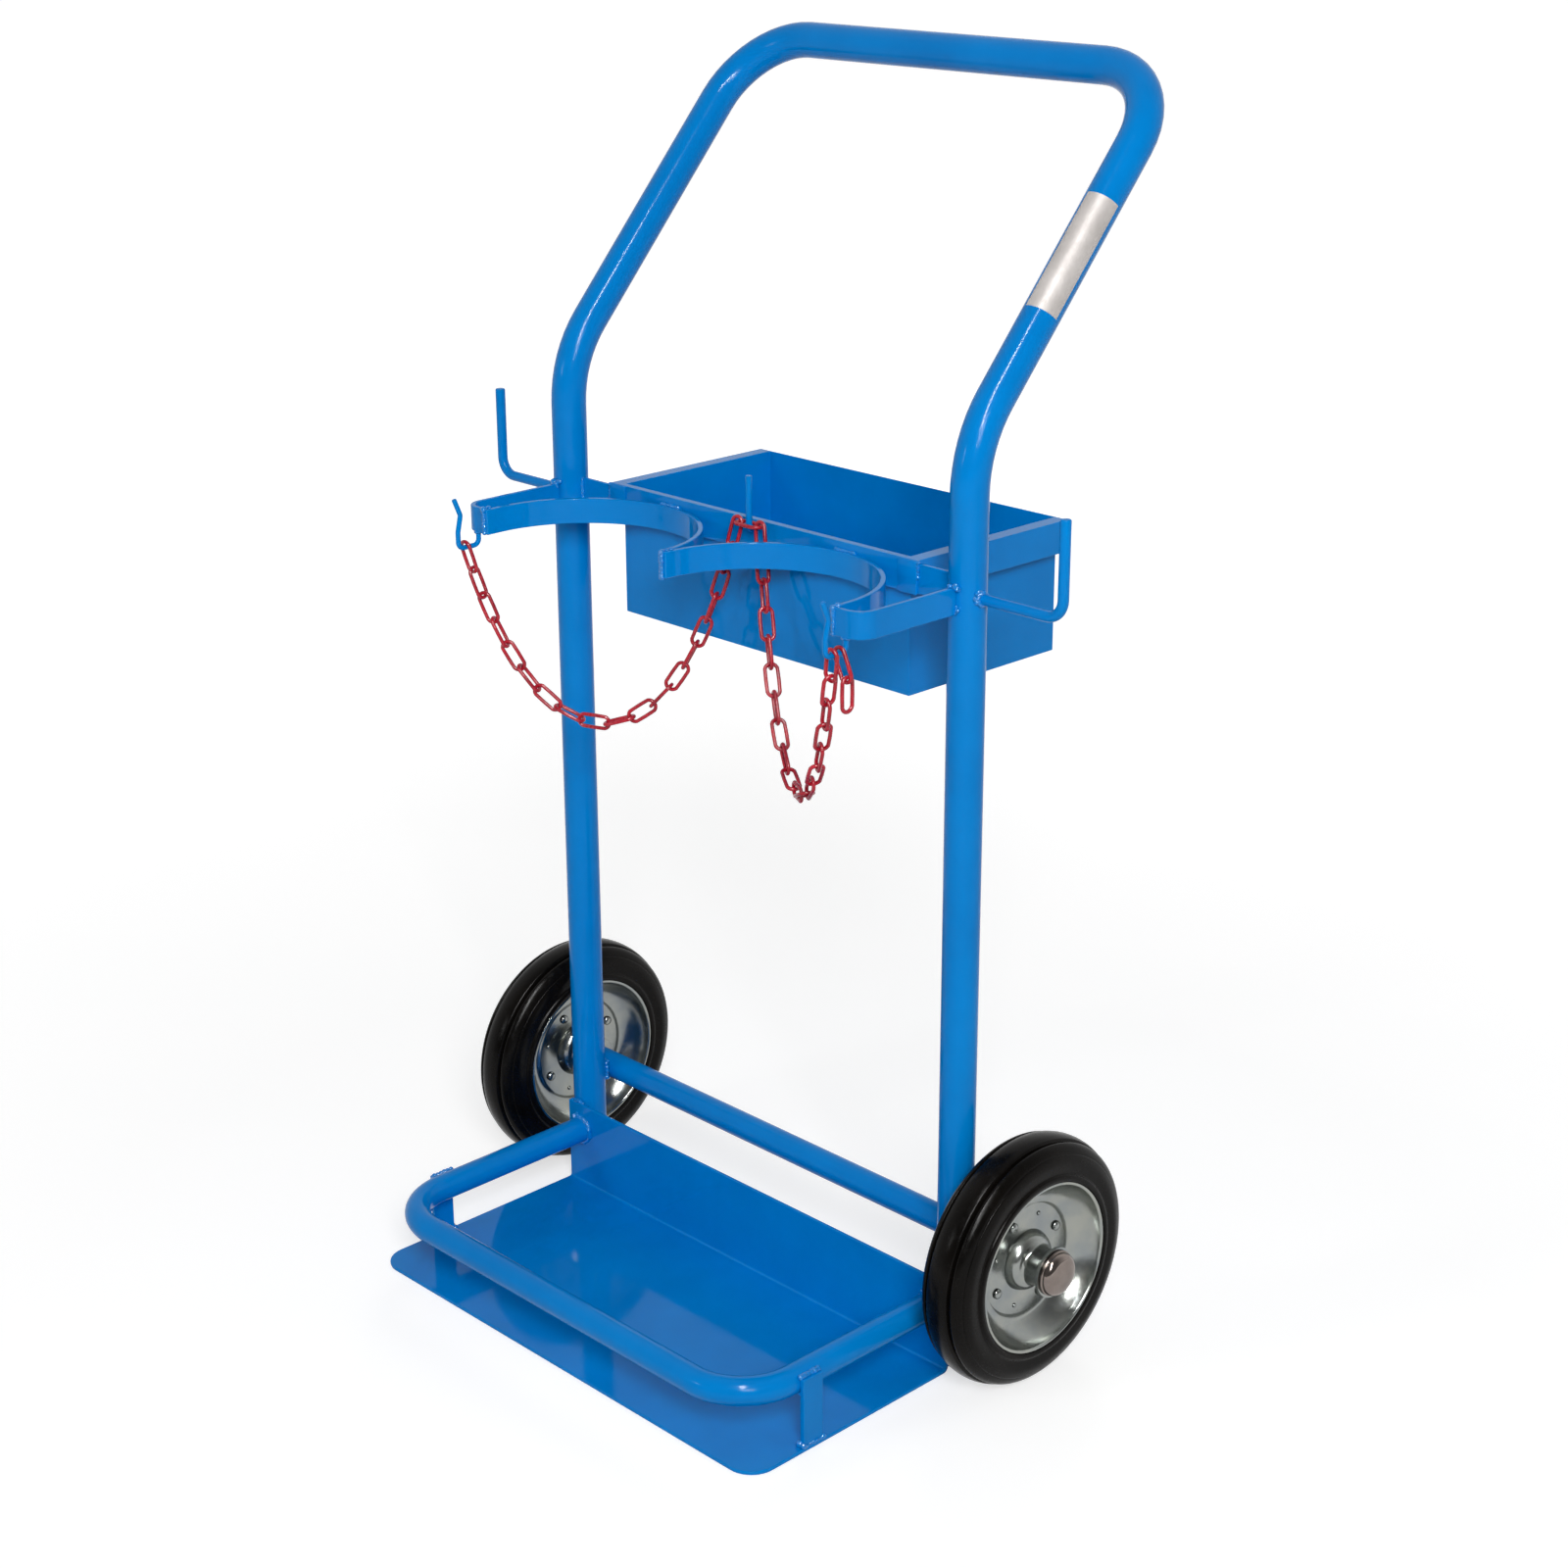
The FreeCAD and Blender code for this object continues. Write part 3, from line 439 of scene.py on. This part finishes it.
def bent_rod(name, start, heading, thick, moves):
    here, ahead = Vector(start), Vector(heading).normalized()
    piece = new_piece(bpy.ops.mesh.primitive_circle_add, name, vertices=ROD_SIDES, radius=thick / 2 * MM,
                      fill_type="NGON")
    piece.matrix_world = Matrix.LocRotScale(here * MM, Vector((0, 0, 1)).rotation_difference(ahead), None)
    set_place()
    start_edit(piece)
    bpy.ops.mesh.select_all(action="SELECT")
    for move in moves:
        if isinstance(move, float):
            bpy.ops.mesh.extrude_region_move(TRANSFORM_OT_translate={"value": ahead * move * MM})
            here = here + ahead * move
            continue
        degrees, radius, axis = move
        axis = Vector(axis)
        centre = here + axis.cross(ahead) * radius
        bpy.ops.mesh.spin(steps=BEND_STEPS, angle=-math.radians(degrees), center=centre * MM, axis=axis)
        swing = Matrix.Rotation(math.radians(degrees), 3, axis)
        here = centre + swing @ (here - centre)
        ahead = swing @ ahead
    bpy.ops.mesh.bevel(offset=thick * TIP_ROUND * MM, segments=TIP_STEPS)
    end_edit()
    close_up(piece)
    return piece


# %% [markdown]
# Two thick hooks for hoses stick out of the uprights and turn up. Two thin hooks under the cradle arms hold the
# chain's ends: they go down, forward and up, lean back a little, and lean forward at the tip. A bent pin on the
# tray's front holds the chain's middle. The right-hand hooks are bent, and the left-hand ones are mirror images.

# %% Hose hooks, chain hooks and middle hook
TUBE, UPRIGHT_X, UPRIGHT_Y = 28.0, 215.0, 4.15
CURL_FORWARD, CURL_BACK, CURL_UP = (-1, 0, 0), (1, 0, 0), (0, -1, 0)
HOSE_ROD, HOSE_HOOK_Z = 8.0, 619.0
hose = bent_rod("right_hose_hook", (UPRIGHT_X + TUBE / 2 - 1, UPRIGHT_Y, HOSE_HOOK_Z), (1, 0, 0), HOSE_ROD,
                [60.0, (90, 14.0, CURL_UP), 57.0])
hoses = joined([hose, mirrored(hose, "left_hose_hook")], "hose_hook_rods")
done(hoses, "blue_enamel", "frame", ["hose_hooks"])

CHAIN_ROD, THIN_BEND = 4.0, 5.0
HOOK_X, HOOK_Y, HOOK_TOP = 200.5, -103.35, 608.2
hook = bent_rod("right_chain_hook", (HOOK_X, HOOK_Y, HOOK_TOP), (0, 0, -1), CHAIN_ROD, [
    5.2, (90, THIN_BEND, CURL_FORWARD), 10.0, (90, THIN_BEND, CURL_FORWARD), 7.43, (13, THIN_BEND, CURL_FORWARD),
    11.18, (35.2, THIN_BEND, CURL_BACK), 12.99])
hooks = joined([hook, mirrored(hook, "left_chain_hook")], "chain_hook_rods")
done(hooks, "blue_enamel", "frame", ["chain_hooks"])

PIN_ROD, PIN_Z = 5.0, 627.5
pin = bent_rod("tray_chain_hook", (0, UPRIGHT_Y + 0.4, PIN_Z), (0, -1, 0), PIN_ROD,
               [2.4, (90, THIN_BEND, CURL_FORWARD), 37.1])
done(pin, "blue_enamel", "frame", ["middle_hook"])

# %% [markdown]
# A chain link is round wire closed into a long ring. A torus has the right wire already: one half of it is selected
# and moved away, and the faces between stretch into the two straight sides.

# %% One chain link
LINK_WIRE, LINK_WIDE, LINK_INNER = 3.0, 13.0, 21.9
link_bend = (LINK_WIDE - LINK_WIRE) / 2
link_stretch = (LINK_INNER + LINK_WIRE) / 2 - link_bend
link = new_piece(bpy.ops.mesh.primitive_torus_add, "chain_link", major_radius=link_bend * MM,
                 minor_radius=LINK_WIRE / 2 * MM, major_segments=24, minor_segments=12)
start_edit(link)
for side in (1, -1):
    pick(lambda place: place.x * side > HAIR)
    bpy.ops.transform.translate(value=(side * link_stretch * MM, 0, 0))
end_edit()
print("link size in mm:", [round(v / MM, 1) for v in link.dimensions])

# %% [markdown]
# The CAD chain says where each link hangs. A copy of it is parted into loose links, and each is measured: the
# points spread most along the link and least across its flat side. A copy of the round link is laid along these
# directions, and the links of one span are joined into one piece.

# %% Chain
def link_places(node_name):
    probe = copy_of(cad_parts[node_name], "probe")
    close_up(probe)
    bpy.ops.mesh.separate(type="LOOSE")
    places = []
    for part in list(bpy.context.selected_objects):
        points = np.array([vert.co for vert in part.data.vertices])
        middle = points.mean(axis=0)
        ways = np.linalg.eigh(np.cov((points - middle).T))[1]
        facing, along = Vector(ways[:, 0]), Vector(ways[:, 2])
        lie = turned_to(along, facing.cross(along), facing)
        places.append(Matrix.LocRotScale(Vector(middle), lie, None))
        bpy.data.objects.remove(part)
    return places


def hung_links(name, node_name, body):
    links = []
    for place in link_places(node_name):
        one = copy_of(link, "link_copy")
        one.matrix_world = place
        set_place()
        links.append(one)
    done(joined(links, name), "red_chain", body, [node_name])


hung_links("right_span_links", "right_chain_span", "right_chain")
hung_links("left_span_links", "left_chain_span", "left_chain")
hung_links("spare_links", "chain_tail", "tail")
hung_links("link_on_tray_hook", "middle_link", "frame")
bpy.data.objects.remove(link)

# %% [markdown]
# Sheet and flat bar have edges that were sheared or folded, so they are never knife sharp, and a painted edge shows
# a thin bright line. A copy of each CAD piece is merged from loose triangles into whole faces, and a small bevel
# rounds its edges. Weighted normals then keep the wide faces flat, so that they mirror like flat sheet and only the
# narrow rounded edges catch the light. The tray's outer sides are also pulled out to the width of the real rims.
# The copy stands for the CAD piece in the picture.

# %% Helper for softened sheet and flat bar
FLAT_DEGREES, EDGE_DEGREES, FOLD_DEGREES = 1, 40, 50
EDGE_STEPS, SIDE_DEEP = 3, 2


def softened(node_name, name, edge, widen=0):
    piece = copy_of(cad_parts[node_name], name)
    piece.parent = None
    for key in list(piece.keys()):
        del piece[key]
    bpy.ops.mesh.customdata_custom_splitnormals_clear()
    start_edit(piece)
    bpy.ops.mesh.select_all(action="SELECT")
    bpy.ops.mesh.remove_doubles(threshold=SAME_POINT * MM)
    bpy.ops.mesh.dissolve_limited(angle_limit=math.radians(FLAT_DEGREES))
    if widen:
        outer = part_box(node_name)[1].x / MM - SIDE_DEEP
        for side in (1, -1):
            pick(lambda place: place.x * side > outer)
            bpy.ops.transform.translate(value=(side * widen * MM, 0, 0))
    end_edit()
    bpy.ops.object.modifier_add(type="BEVEL")
    rounding = piece.modifiers[-1]
    rounding.width = edge * MM
    rounding.segments = EDGE_STEPS
    rounding.limit_method = "ANGLE"
    rounding.angle_limit = math.radians(EDGE_DEGREES)
    rounding.use_clamp_overlap = True
    bpy.ops.object.modifier_apply(modifier=rounding.name)
    done(piece, slot_of[node_name], "frame", [node_name], fold=FOLD_DEGREES, material=sheet_blue)
    bpy.ops.object.modifier_add(type="WEIGHTED_NORMAL")
    bpy.ops.object.modifier_apply(modifier=piece.modifiers[-1].name)


# %% Softened sheet and flat bar
PLATE_EDGE, TRAY_EDGE, TRAY_WIDEN, POST_EDGE, TAB_EDGE, BAR_EDGE = 0.8, 0.5, 6.5, 0.7, 0.5, 0.8
softened("foot_plate", "folded_foot_plate", PLATE_EDGE)
softened("tool_tray", "folded_tool_tray", TRAY_EDGE, widen=TRAY_WIDEN)
for side in ("left", "right"):
    softened(side + "_rail_post", side + "_rail_post_bar", POST_EDGE)
    softened(side + "_tray_tab", side + "_tray_tab_plate", TAB_EDGE)
    softened(side + "_cradle_arc", side + "_cradle_arc_bar", BAR_EDGE)
    softened(side + "_cradle_arm", side + "_cradle_arm_bar", BAR_EDGE)

# %% [markdown]
# At the tray's front corners the side rims are lapped round onto the front and spot welded. Each lap is a cube
# pulled to a thin strip. Its lower inner corner is cut round by a bevel, and so are the edges of its front face.

# %% Lapped corners of the tray
LAP_CORNER, LAP_EDGE, AT_SIDE = 2.5, 0.4, 0.1


def lap(name, low, high):
    low, high = Vector(low), Vector(high)
    piece = new_piece(bpy.ops.mesh.primitive_cube_add, name, size=MM)
    start_edit(piece)
    bpy.ops.mesh.select_all(action="SELECT")
    bpy.ops.transform.resize(value=high - low)
    bpy.ops.transform.translate(value=(low + high) / 2 * MM)
    pick(lambda place: place.x < low.x + AT_SIDE and place.z < low.z + AT_SIDE)
    bpy.ops.mesh.bevel(offset=LAP_CORNER * MM, segments=4)
    pick(lambda place: place.y < low.y + AT_SIDE)
    bpy.ops.mesh.bevel(offset=LAP_EDGE * MM, segments=2)
    end_edit()
    close_up(piece)
    return piece


strip = lap("right_lap", (148.0, 2.9, 609.4), (166.4, 4.2, 634.2))
laps = joined([strip, mirrored(strip, "left_lap")], "tray_corner_laps")
done(laps, "blue_enamel", "frame")

# %% [markdown]
# Weld beads join the pieces. A bead is a row of flattened drops that run into each other, so a weld is first a list
# of drops, each with its place and thickness. Drops lie along a straight seam, round a rod or tube, or spattered
# about a spot. Places are given for the right-hand side, and side -1 mirrors them to the left. A seeded random
# generator keeps the drops the same on every run.

# %% Helpers for weld seams
DROP_STEP = 0.55
drop_chance = random.Random(7)


def on_side(side, place):
    return Vector((side * place[0], place[1], place[2]))


def seam(side, start, end, thick):
    start, end = on_side(side, start), on_side(side, end)
    count = max(2, int((end - start).length / (thick * DROP_STEP)))
    return [(start.lerp(end, i / (count - 1)), thick) for i in range(count)]


def ring_seam(side, centre, axis, radius, thick):
    axis = Vector(axis)
    outward = axis.orthogonal().normalized()
    count = max(3, int(2 * math.pi * radius / (thick * DROP_STEP)))
    drops = []
    for i in range(count):
        spin = Matrix.Rotation(math.radians(360 * i / count), 3, axis)
        drops.append((on_side(side, centre) + spin @ outward * radius, thick))
    return drops


def spot(side, centre, spread, thick, count):
    drops = []
    for _ in range(count):
        off = Vector([drop_chance.uniform(-1, 1) * reach for reach in spread])
        drops.append((on_side(side, centre) + off, thick))
    return drops


# %% [markdown]
# The welds are written down as tables, one row for each: the kind of seam, its place, and last its thickness. A
# spot also has how far it spreads and the number of its drops, and a ring has its axis and radius. First come the
# welds of the cradle, the hooks and the axle.

# %% Welds of the cradle, hooks and axle
TUBE_FRONT, TUBE_REAR, TUBE_SIDE = UPRIGHT_Y - TUBE / 2, UPRIGHT_Y + TUBE / 2, UPRIGHT_X + TUBE / 2
BAND_LOW, BAND_HIGH = 608.0, 628.0
ARM_END, ARM_TIP_X, ARC_Y = TUBE_FRONT - 0.9, 190.3, UPRIGHT_Y - 1.0
ARC_TOP_Y, ARC_TOP_Z = UPRIGHT_Y - 0.9, BAND_HIGH + 0.4
cradle_welds = [
    # Arm on the upright
    (spot, (216.5, ARM_END + 0.6, BAND_LOW + 3.5), (4.5, 0.8, 3.0), 3.8, 14),
    (spot, (216.0, ARM_END - 0.2, BAND_HIGH - 0.5), (4.5, 1.6, 2.4), 3.8, 16),
    # Arc on the tray
    (seam, (84, ARC_Y, BAND_LOW + 1), (84, ARC_Y, BAND_HIGH - 1), 3.0),
    (seam, (106, ARC_Y, BAND_LOW + 1), (106, ARC_Y, BAND_HIGH - 1), 3.0),
    (seam, (86, ARC_TOP_Y, ARC_TOP_Z), (104, ARC_TOP_Y, ARC_TOP_Z), 3.6),
    # Tip of the arc on the tip of the arm
    (seam, (ARM_TIP_X, -105.6, BAND_HIGH - 0.4), (ARM_TIP_X, -100.5, BAND_HIGH), 4.8),
    (seam, (ARM_TIP_X, -105.4, BAND_LOW + 1), (ARM_TIP_X, -105.4, BAND_HIGH - 1), 3.8),
    # Chain hook under the arm
    (ring_seam, (HOOK_X, HOOK_Y, BAND_LOW - 0.2), (0, 0, 1), 2.2, 2.8)]
AXLE_Y, AXLE_SIDE_Y = TUBE_REAR + 0.6, TUBE_REAR - 1.8
upright_welds = [
    # Hose hook on the upright
    (ring_seam, (TUBE_SIDE + 0.3, UPRIGHT_Y, HOSE_HOOK_Z), (1, 0, 0), 4.4, 4.2),
    (spot, (TUBE_SIDE - 0.8, UPRIGHT_Y - 3.5, HOSE_HOOK_Z + 2), (1.2, 3.0, 4.0), 3.4, 14),
    # Axle behind the upright
    (seam, (UPRIGHT_X - 7, AXLE_Y, 92.3), (UPRIGHT_X + 7, AXLE_Y, 92.3), 4.6),
    (seam, (UPRIGHT_X - 7, AXLE_Y, 107.7), (UPRIGHT_X + 7, AXLE_Y, 107.7), 4.6),
    (seam, (UPRIGHT_X - 9, AXLE_SIDE_Y, 94), (UPRIGHT_X - 9, AXLE_SIDE_Y, 107), 4.6),
    (seam, (UPRIGHT_X + 9, AXLE_SIDE_Y, 94), (UPRIGHT_X + 9, AXLE_SIDE_Y, 107), 4.6)]
print("welds on each side:", len(cradle_welds), "on the cradle,", len(upright_welds), "on the upright")

# %% [markdown]
# Next come the welds at the foot, where the guard rail and the plate's upstand meet the upright and the flat posts
# stand on the plate, then those of the tray's tabs, and last the few in the middle, which aren't mirrored.

# %% Welds of the foot and the tray
RAIL_Z, RAIL_SPATTER_Y, UPSTAND_Y, UPSTAND_TOP_Y = 54, TUBE_FRONT - 4.6, TUBE_FRONT + 0.9, TUBE_FRONT - 0.6
foot_welds = [
    # Guard rail on the upstand
    (ring_seam, (207.3, TUBE_FRONT - 3.9, RAIL_Z), (0, 1, 0), 11.4, 4.6),
    (spot, (210.0, RAIL_SPATTER_Y, RAIL_Z + 10), (6.0, 1.4, 3.0), 4.0, 16),
    (spot, (197.0, RAIL_SPATTER_Y, RAIL_Z), (2.2, 1.2, 6.0), 3.6, 12),
    # Upstand on the upright
    (seam, (UPRIGHT_X - 7.5, UPSTAND_Y, 12), (UPRIGHT_X - 7.5, UPSTAND_Y, 74), 3.0),
    (seam, (UPRIGHT_X + 7, UPSTAND_Y, 12), (UPRIGHT_X + 7, UPSTAND_Y, 74), 3.0),
    (seam, (208, UPSTAND_TOP_Y, 77), (221, UPSTAND_TOP_Y, 77), 4.0),
    (spot, (213, TUBE_FRONT - 0.8, 78), (6.0, 0.8, 1.6), 3.4, 12),
    # Rail post on the plate: front, outer side, inner side, rear
    (seam, (218.4, -166.6, 4.8), (222.0, -166.6, 4.8), 6.5),
    (seam, (222.3, -165.0, 4.2), (222.3, -147.0, 4.2), 4.2),
    (seam, (218.2, -165.0, 4.4), (218.2, -147.0, 4.4), 5.0),
    (seam, (218.4, -145.8, 4.6), (222.0, -145.8, 4.6), 5.5),
    # Rail post on the rail: above and below
    (seam, (218.0, -165.0, 60.8), (218.0, -147.5, 60.8), 5.2),
    (seam, (217.8, -165.0, 46.6), (217.8, -147.5, 46.6), 3.6)]
TAB_UPRIGHT_Y, TAB_TRAY_Y, TIP_Y, TIP_FRONT_Y = UPRIGHT_Y - 0.2, UPRIGHT_Y + 0.3, -91.05, -91.55
tab_welds = [
    # Tray tab on the upright and on the tray
    (seam, (201.0, TAB_UPRIGHT_Y, 611), (201.0, TAB_UPRIGHT_Y, 632), 4.0),
    (seam, (166.8, TAB_TRAY_Y, 622), (166.8, TAB_TRAY_Y, 633), 4.0)]
middle_welds = [
    # Tips of the two arcs on each other
    (seam, (0, TIP_FRONT_Y, BAND_LOW + 0.8), (0, TIP_FRONT_Y, BAND_HIGH - 0.8), 4.6),
    (seam, (0, TIP_Y, BAND_HIGH), (0, TIP_Y + 9, BAND_HIGH - 0.2), 4.4),
    # Middle hook on the tray
    (ring_seam, (0, UPRIGHT_Y - 0.2, PIN_Z), (0, 1, 0), 2.9, 2.4)]
print("welds on each side:", len(foot_welds), "at the foot,", len(tab_welds), "on the tab; in the middle:",
      len(middle_welds))

# %% [markdown]
# A small ball is set at the place of each drop, every one a little different in size and flatness. Joined balls
# would still show as balls, so a voxel remesh melts them into one lumpy skin.

# %% Weld beads
DROP_SIZES, DROP_FLATNESS, MELT_GRID = (0.78, 1.18), (0.85, 1.0), 0.5
drops = []
for side in (1, -1):
    for kind, *values in cradle_welds + upright_welds + foot_welds + tab_welds:
        drops += kind(side, *values)
for kind, *values in middle_welds:
    drops += kind(1, *values)

ball = new_piece(bpy.ops.mesh.primitive_ico_sphere_add, "weld_drop", subdivisions=2, radius=0.5 * MM)
beads = []
for place, thick in drops:
    one = ball.copy()
    one.data = ball.data.copy()
    bpy.context.scene.collection.objects.link(one)
    grow = thick * drop_chance.uniform(*DROP_SIZES)
    one.scale = (grow, grow * drop_chance.uniform(*DROP_FLATNESS), grow * drop_chance.uniform(*DROP_FLATNESS))
    one.location = place * MM
    beads.append(one)
bpy.data.objects.remove(ball)
welds = joined(beads, "weld_beads")
set_place()
bpy.ops.object.modifier_add(type="REMESH")
melt = welds.modifiers[-1]
melt.mode = "VOXEL"
melt.voxel_size = MELT_GRID * MM
bpy.ops.object.modifier_apply(modifier=melt.name)
done(welds, "blue_enamel", "frame", fold=80, material=weld_blue)

# %% [markdown]
# A bare foil plate is stuck round the right handle tube. A flat strip would have to be bent, so a short open
# cylinder of the tube's size is cut by two bisect planes to the part that the foil covers. It gets the foil's
# thickness from Solidify, and is turned into place along the slanted tube.

# %% Foil plate on the handle
HANDLE_TILT, HALF_WRAP = math.radians(41.6), math.radians(56)
HANDLE_FOOT_Z, FOIL_UP_TUBE = 727.6, 152.7
FOIL_LONG, FOIL_THICK, FOIL_GAP, FOIL_SIDES = 95.5, 0.15, 0.05, 120
FOIL_FACES = Vector((0.53, -0.82, 0.15))
tube_way = Vector((0, math.sin(HANDLE_TILT), math.cos(HANDLE_TILT)))
foil_at = Vector((UPRIGHT_X, UPRIGHT_Y, HANDLE_FOOT_Z)) + tube_way * FOIL_UP_TUBE
front = (FOIL_FACES - tube_way * FOIL_FACES.dot(tube_way)).normalized()
plate = new_piece(bpy.ops.mesh.primitive_cylinder_add, "foil_plate", vertices=FOIL_SIDES,
                  radius=(TUBE / 2 + FOIL_GAP) * MM, depth=FOIL_LONG * MM, end_fill_type="NOTHING")
start_edit(plate)
for way in (1, -1):
    bpy.ops.mesh.select_all(action="SELECT")
    cut = (math.sin(HALF_WRAP), way * math.cos(HALF_WRAP), 0)
    bpy.ops.mesh.bisect(plane_co=(0, 0, 0), plane_no=cut, clear_inner=True)
end_edit()
bpy.ops.object.modifier_add(type="SOLIDIFY")
wall = plate.modifiers[-1]
wall.thickness = FOIL_THICK * MM
wall.offset = 1
bpy.ops.object.modifier_apply(modifier=wall.name)
plate.matrix_world = Matrix.LocRotScale(foil_at * MM, turned_to(front, tube_way.cross(front), tube_way), None)
done(plate, "zinc_steel", "frame", material=foil)

# %% [markdown]
# The trolley stands on a plain pale floor. It could be made white by strong lamps, but these would also bleach the
# enamel. So the floor is a dull grey that takes the shadow, and gives off light of its own that only the camera and
# reflections see: the Light Path node tells which ray is asking. This light grows away from the trolley, so that
# the floor runs into the white background.

# %% Floor
FLOOR_WIDE, FLOOR_GREY = 60, (0.6, 0.6, 0.6, 1)
WHITE = (1, 1, 1, 1)


def reckoned(tree, operation, first, second):
    made = add(tree, "Math")
    made.operation = operation
    tree.links.new(first, made.inputs[0])
    tree.links.new(second, made.inputs[1])
    return made.outputs[0]


floor = new_piece(bpy.ops.mesh.primitive_plane_add, "studio_floor", size=FLOOR_WIDE)
ground = bpy.data.materials.new("pale_floor")
ground.use_nodes = True
tree = ground.node_tree
tree.nodes.clear()
matt = add(tree, "BsdfDiffuse", Color=FLOOR_GREY)
glow = add(tree, "Emission", Color=WHITE)
ray = add(tree, "LightPath")
here = add(tree, "TexCoord")
away = add(tree, "VectorMath")
away.operation = "LENGTH"
fade = add(tree, "MapRange", From_Min=0.6, From_Max=2.6, To_Min=0.6, To_Max=0.85)
both = add(tree, "AddShader")
surface = add(tree, "OutputMaterial")
tree.links.new(here.outputs["Object"], away.inputs[0])
tree.links.new(away.outputs["Value"], fade.inputs["Value"])
seen = reckoned(tree, "MAXIMUM", ray.outputs["Is Camera Ray"], ray.outputs["Is Glossy Ray"])
tree.links.new(reckoned(tree, "MULTIPLY", seen, fade.outputs[0]), glow.inputs["Strength"])
tree.links.new(matt.outputs[0], both.inputs[0])
tree.links.new(glow.outputs[0], both.inputs[1])
tree.links.new(both.outputs[0], surface.inputs["Surface"])
floor.data.materials.append(ground)
print("floor:", FLOOR_WIDE, "m wide")

# %% [markdown]
# The surroundings are white to the camera, but the light that falls from them on the trolley stays at a plain level
# and leaves a soft shadow. Enamel and zinc need something darker to mirror, so in reflections the room is white on
# the far side and fades to grey behind the camera. The room belongs to the world, and so it stays in place when the
# camera moves.

# %% Surroundings
FILL_LIGHT = 0.27
world = bpy.data.worlds.new("studio")
bpy.context.scene.world = world
world.use_nodes = True
tree = world.node_tree
sky = tree.nodes["Background"]
sky.inputs["Color"].default_value = WHITE
ray = add(tree, "LightPath")
around = add(tree, "TexCoord")
towards = add(tree, "VectorMath")
towards.operation = "DOT_PRODUCT"
towards.inputs[1].default_value = back
room = add(tree, "MapRange", From_Min=-0.1, From_Max=0.6, To_Min=1.0, To_Max=0.2)
strength = add(tree, "MapRange", To_Min=FILL_LIGHT)
tree.links.new(around.outputs["Generated"], towards.inputs[0])
tree.links.new(towards.outputs["Value"], room.inputs["Value"])
in_mirror = reckoned(tree, "MAXIMUM", ray.outputs["Is Glossy Ray"], ray.outputs["Is Transmission Ray"])
tree.links.new(in_mirror, strength.inputs["Value"])
tree.links.new(room.outputs[0], strength.inputs["To Max"])
tree.links.new(reckoned(tree, "MAXIMUM", strength.outputs[0], ray.outputs["Is Camera Ray"]), sky.inputs["Strength"])
print("fill light from the surroundings:", FILL_LIGHT)

# %% [markdown]
# Three soft lamps light the trolley from the right, the front and behind. The rear one would draw a white veil on
# surfaces seen at a low angle, so reflections don't see it. A fourth, narrow lamp is seen only in reflections: it
# draws the bright streaks along the tubes without lighting the rest. Each row of the table gives a lamp's place,
# width and height in metres, and its power in watts.

# %% Lamps
LAMPS = (
    ("key_softbox", (2.3, -1.8, 2.1), 1.0, 1.0, 70),
    ("front_softbox", (-0.9, -2.9, 1.5), 0.5, 0.5, 8),
    ("rear_softbox", (-1.6, 2.6, 2.4), 1.2, 1.2, 18),
    ("sparkle_box", (0.95, -0.95, 2.0), 0.15, 1.0, 62))
for name, place, wide, tall, watts in LAMPS:
    lamp = bpy.data.lights.new(name, "AREA")
    lamp.shape = "RECTANGLE"
    lamp.size = wide
    lamp.size_y = tall
    lamp.energy = watts
    holder = bpy.data.objects.new(name, lamp)
    bpy.context.scene.collection.objects.link(holder)
    holder.location = place
    holder.rotation_mode = "QUATERNION"
    holder.rotation_quaternion = (AIM - Vector(place)).to_track_quat("-Z", "Y")
    holder.visible_camera = False
    holder.visible_diffuse = name != "sparkle_box"
    holder.visible_glossy = name != "rear_softbox"
print("lamps:", [row[0] for row in LAMPS])
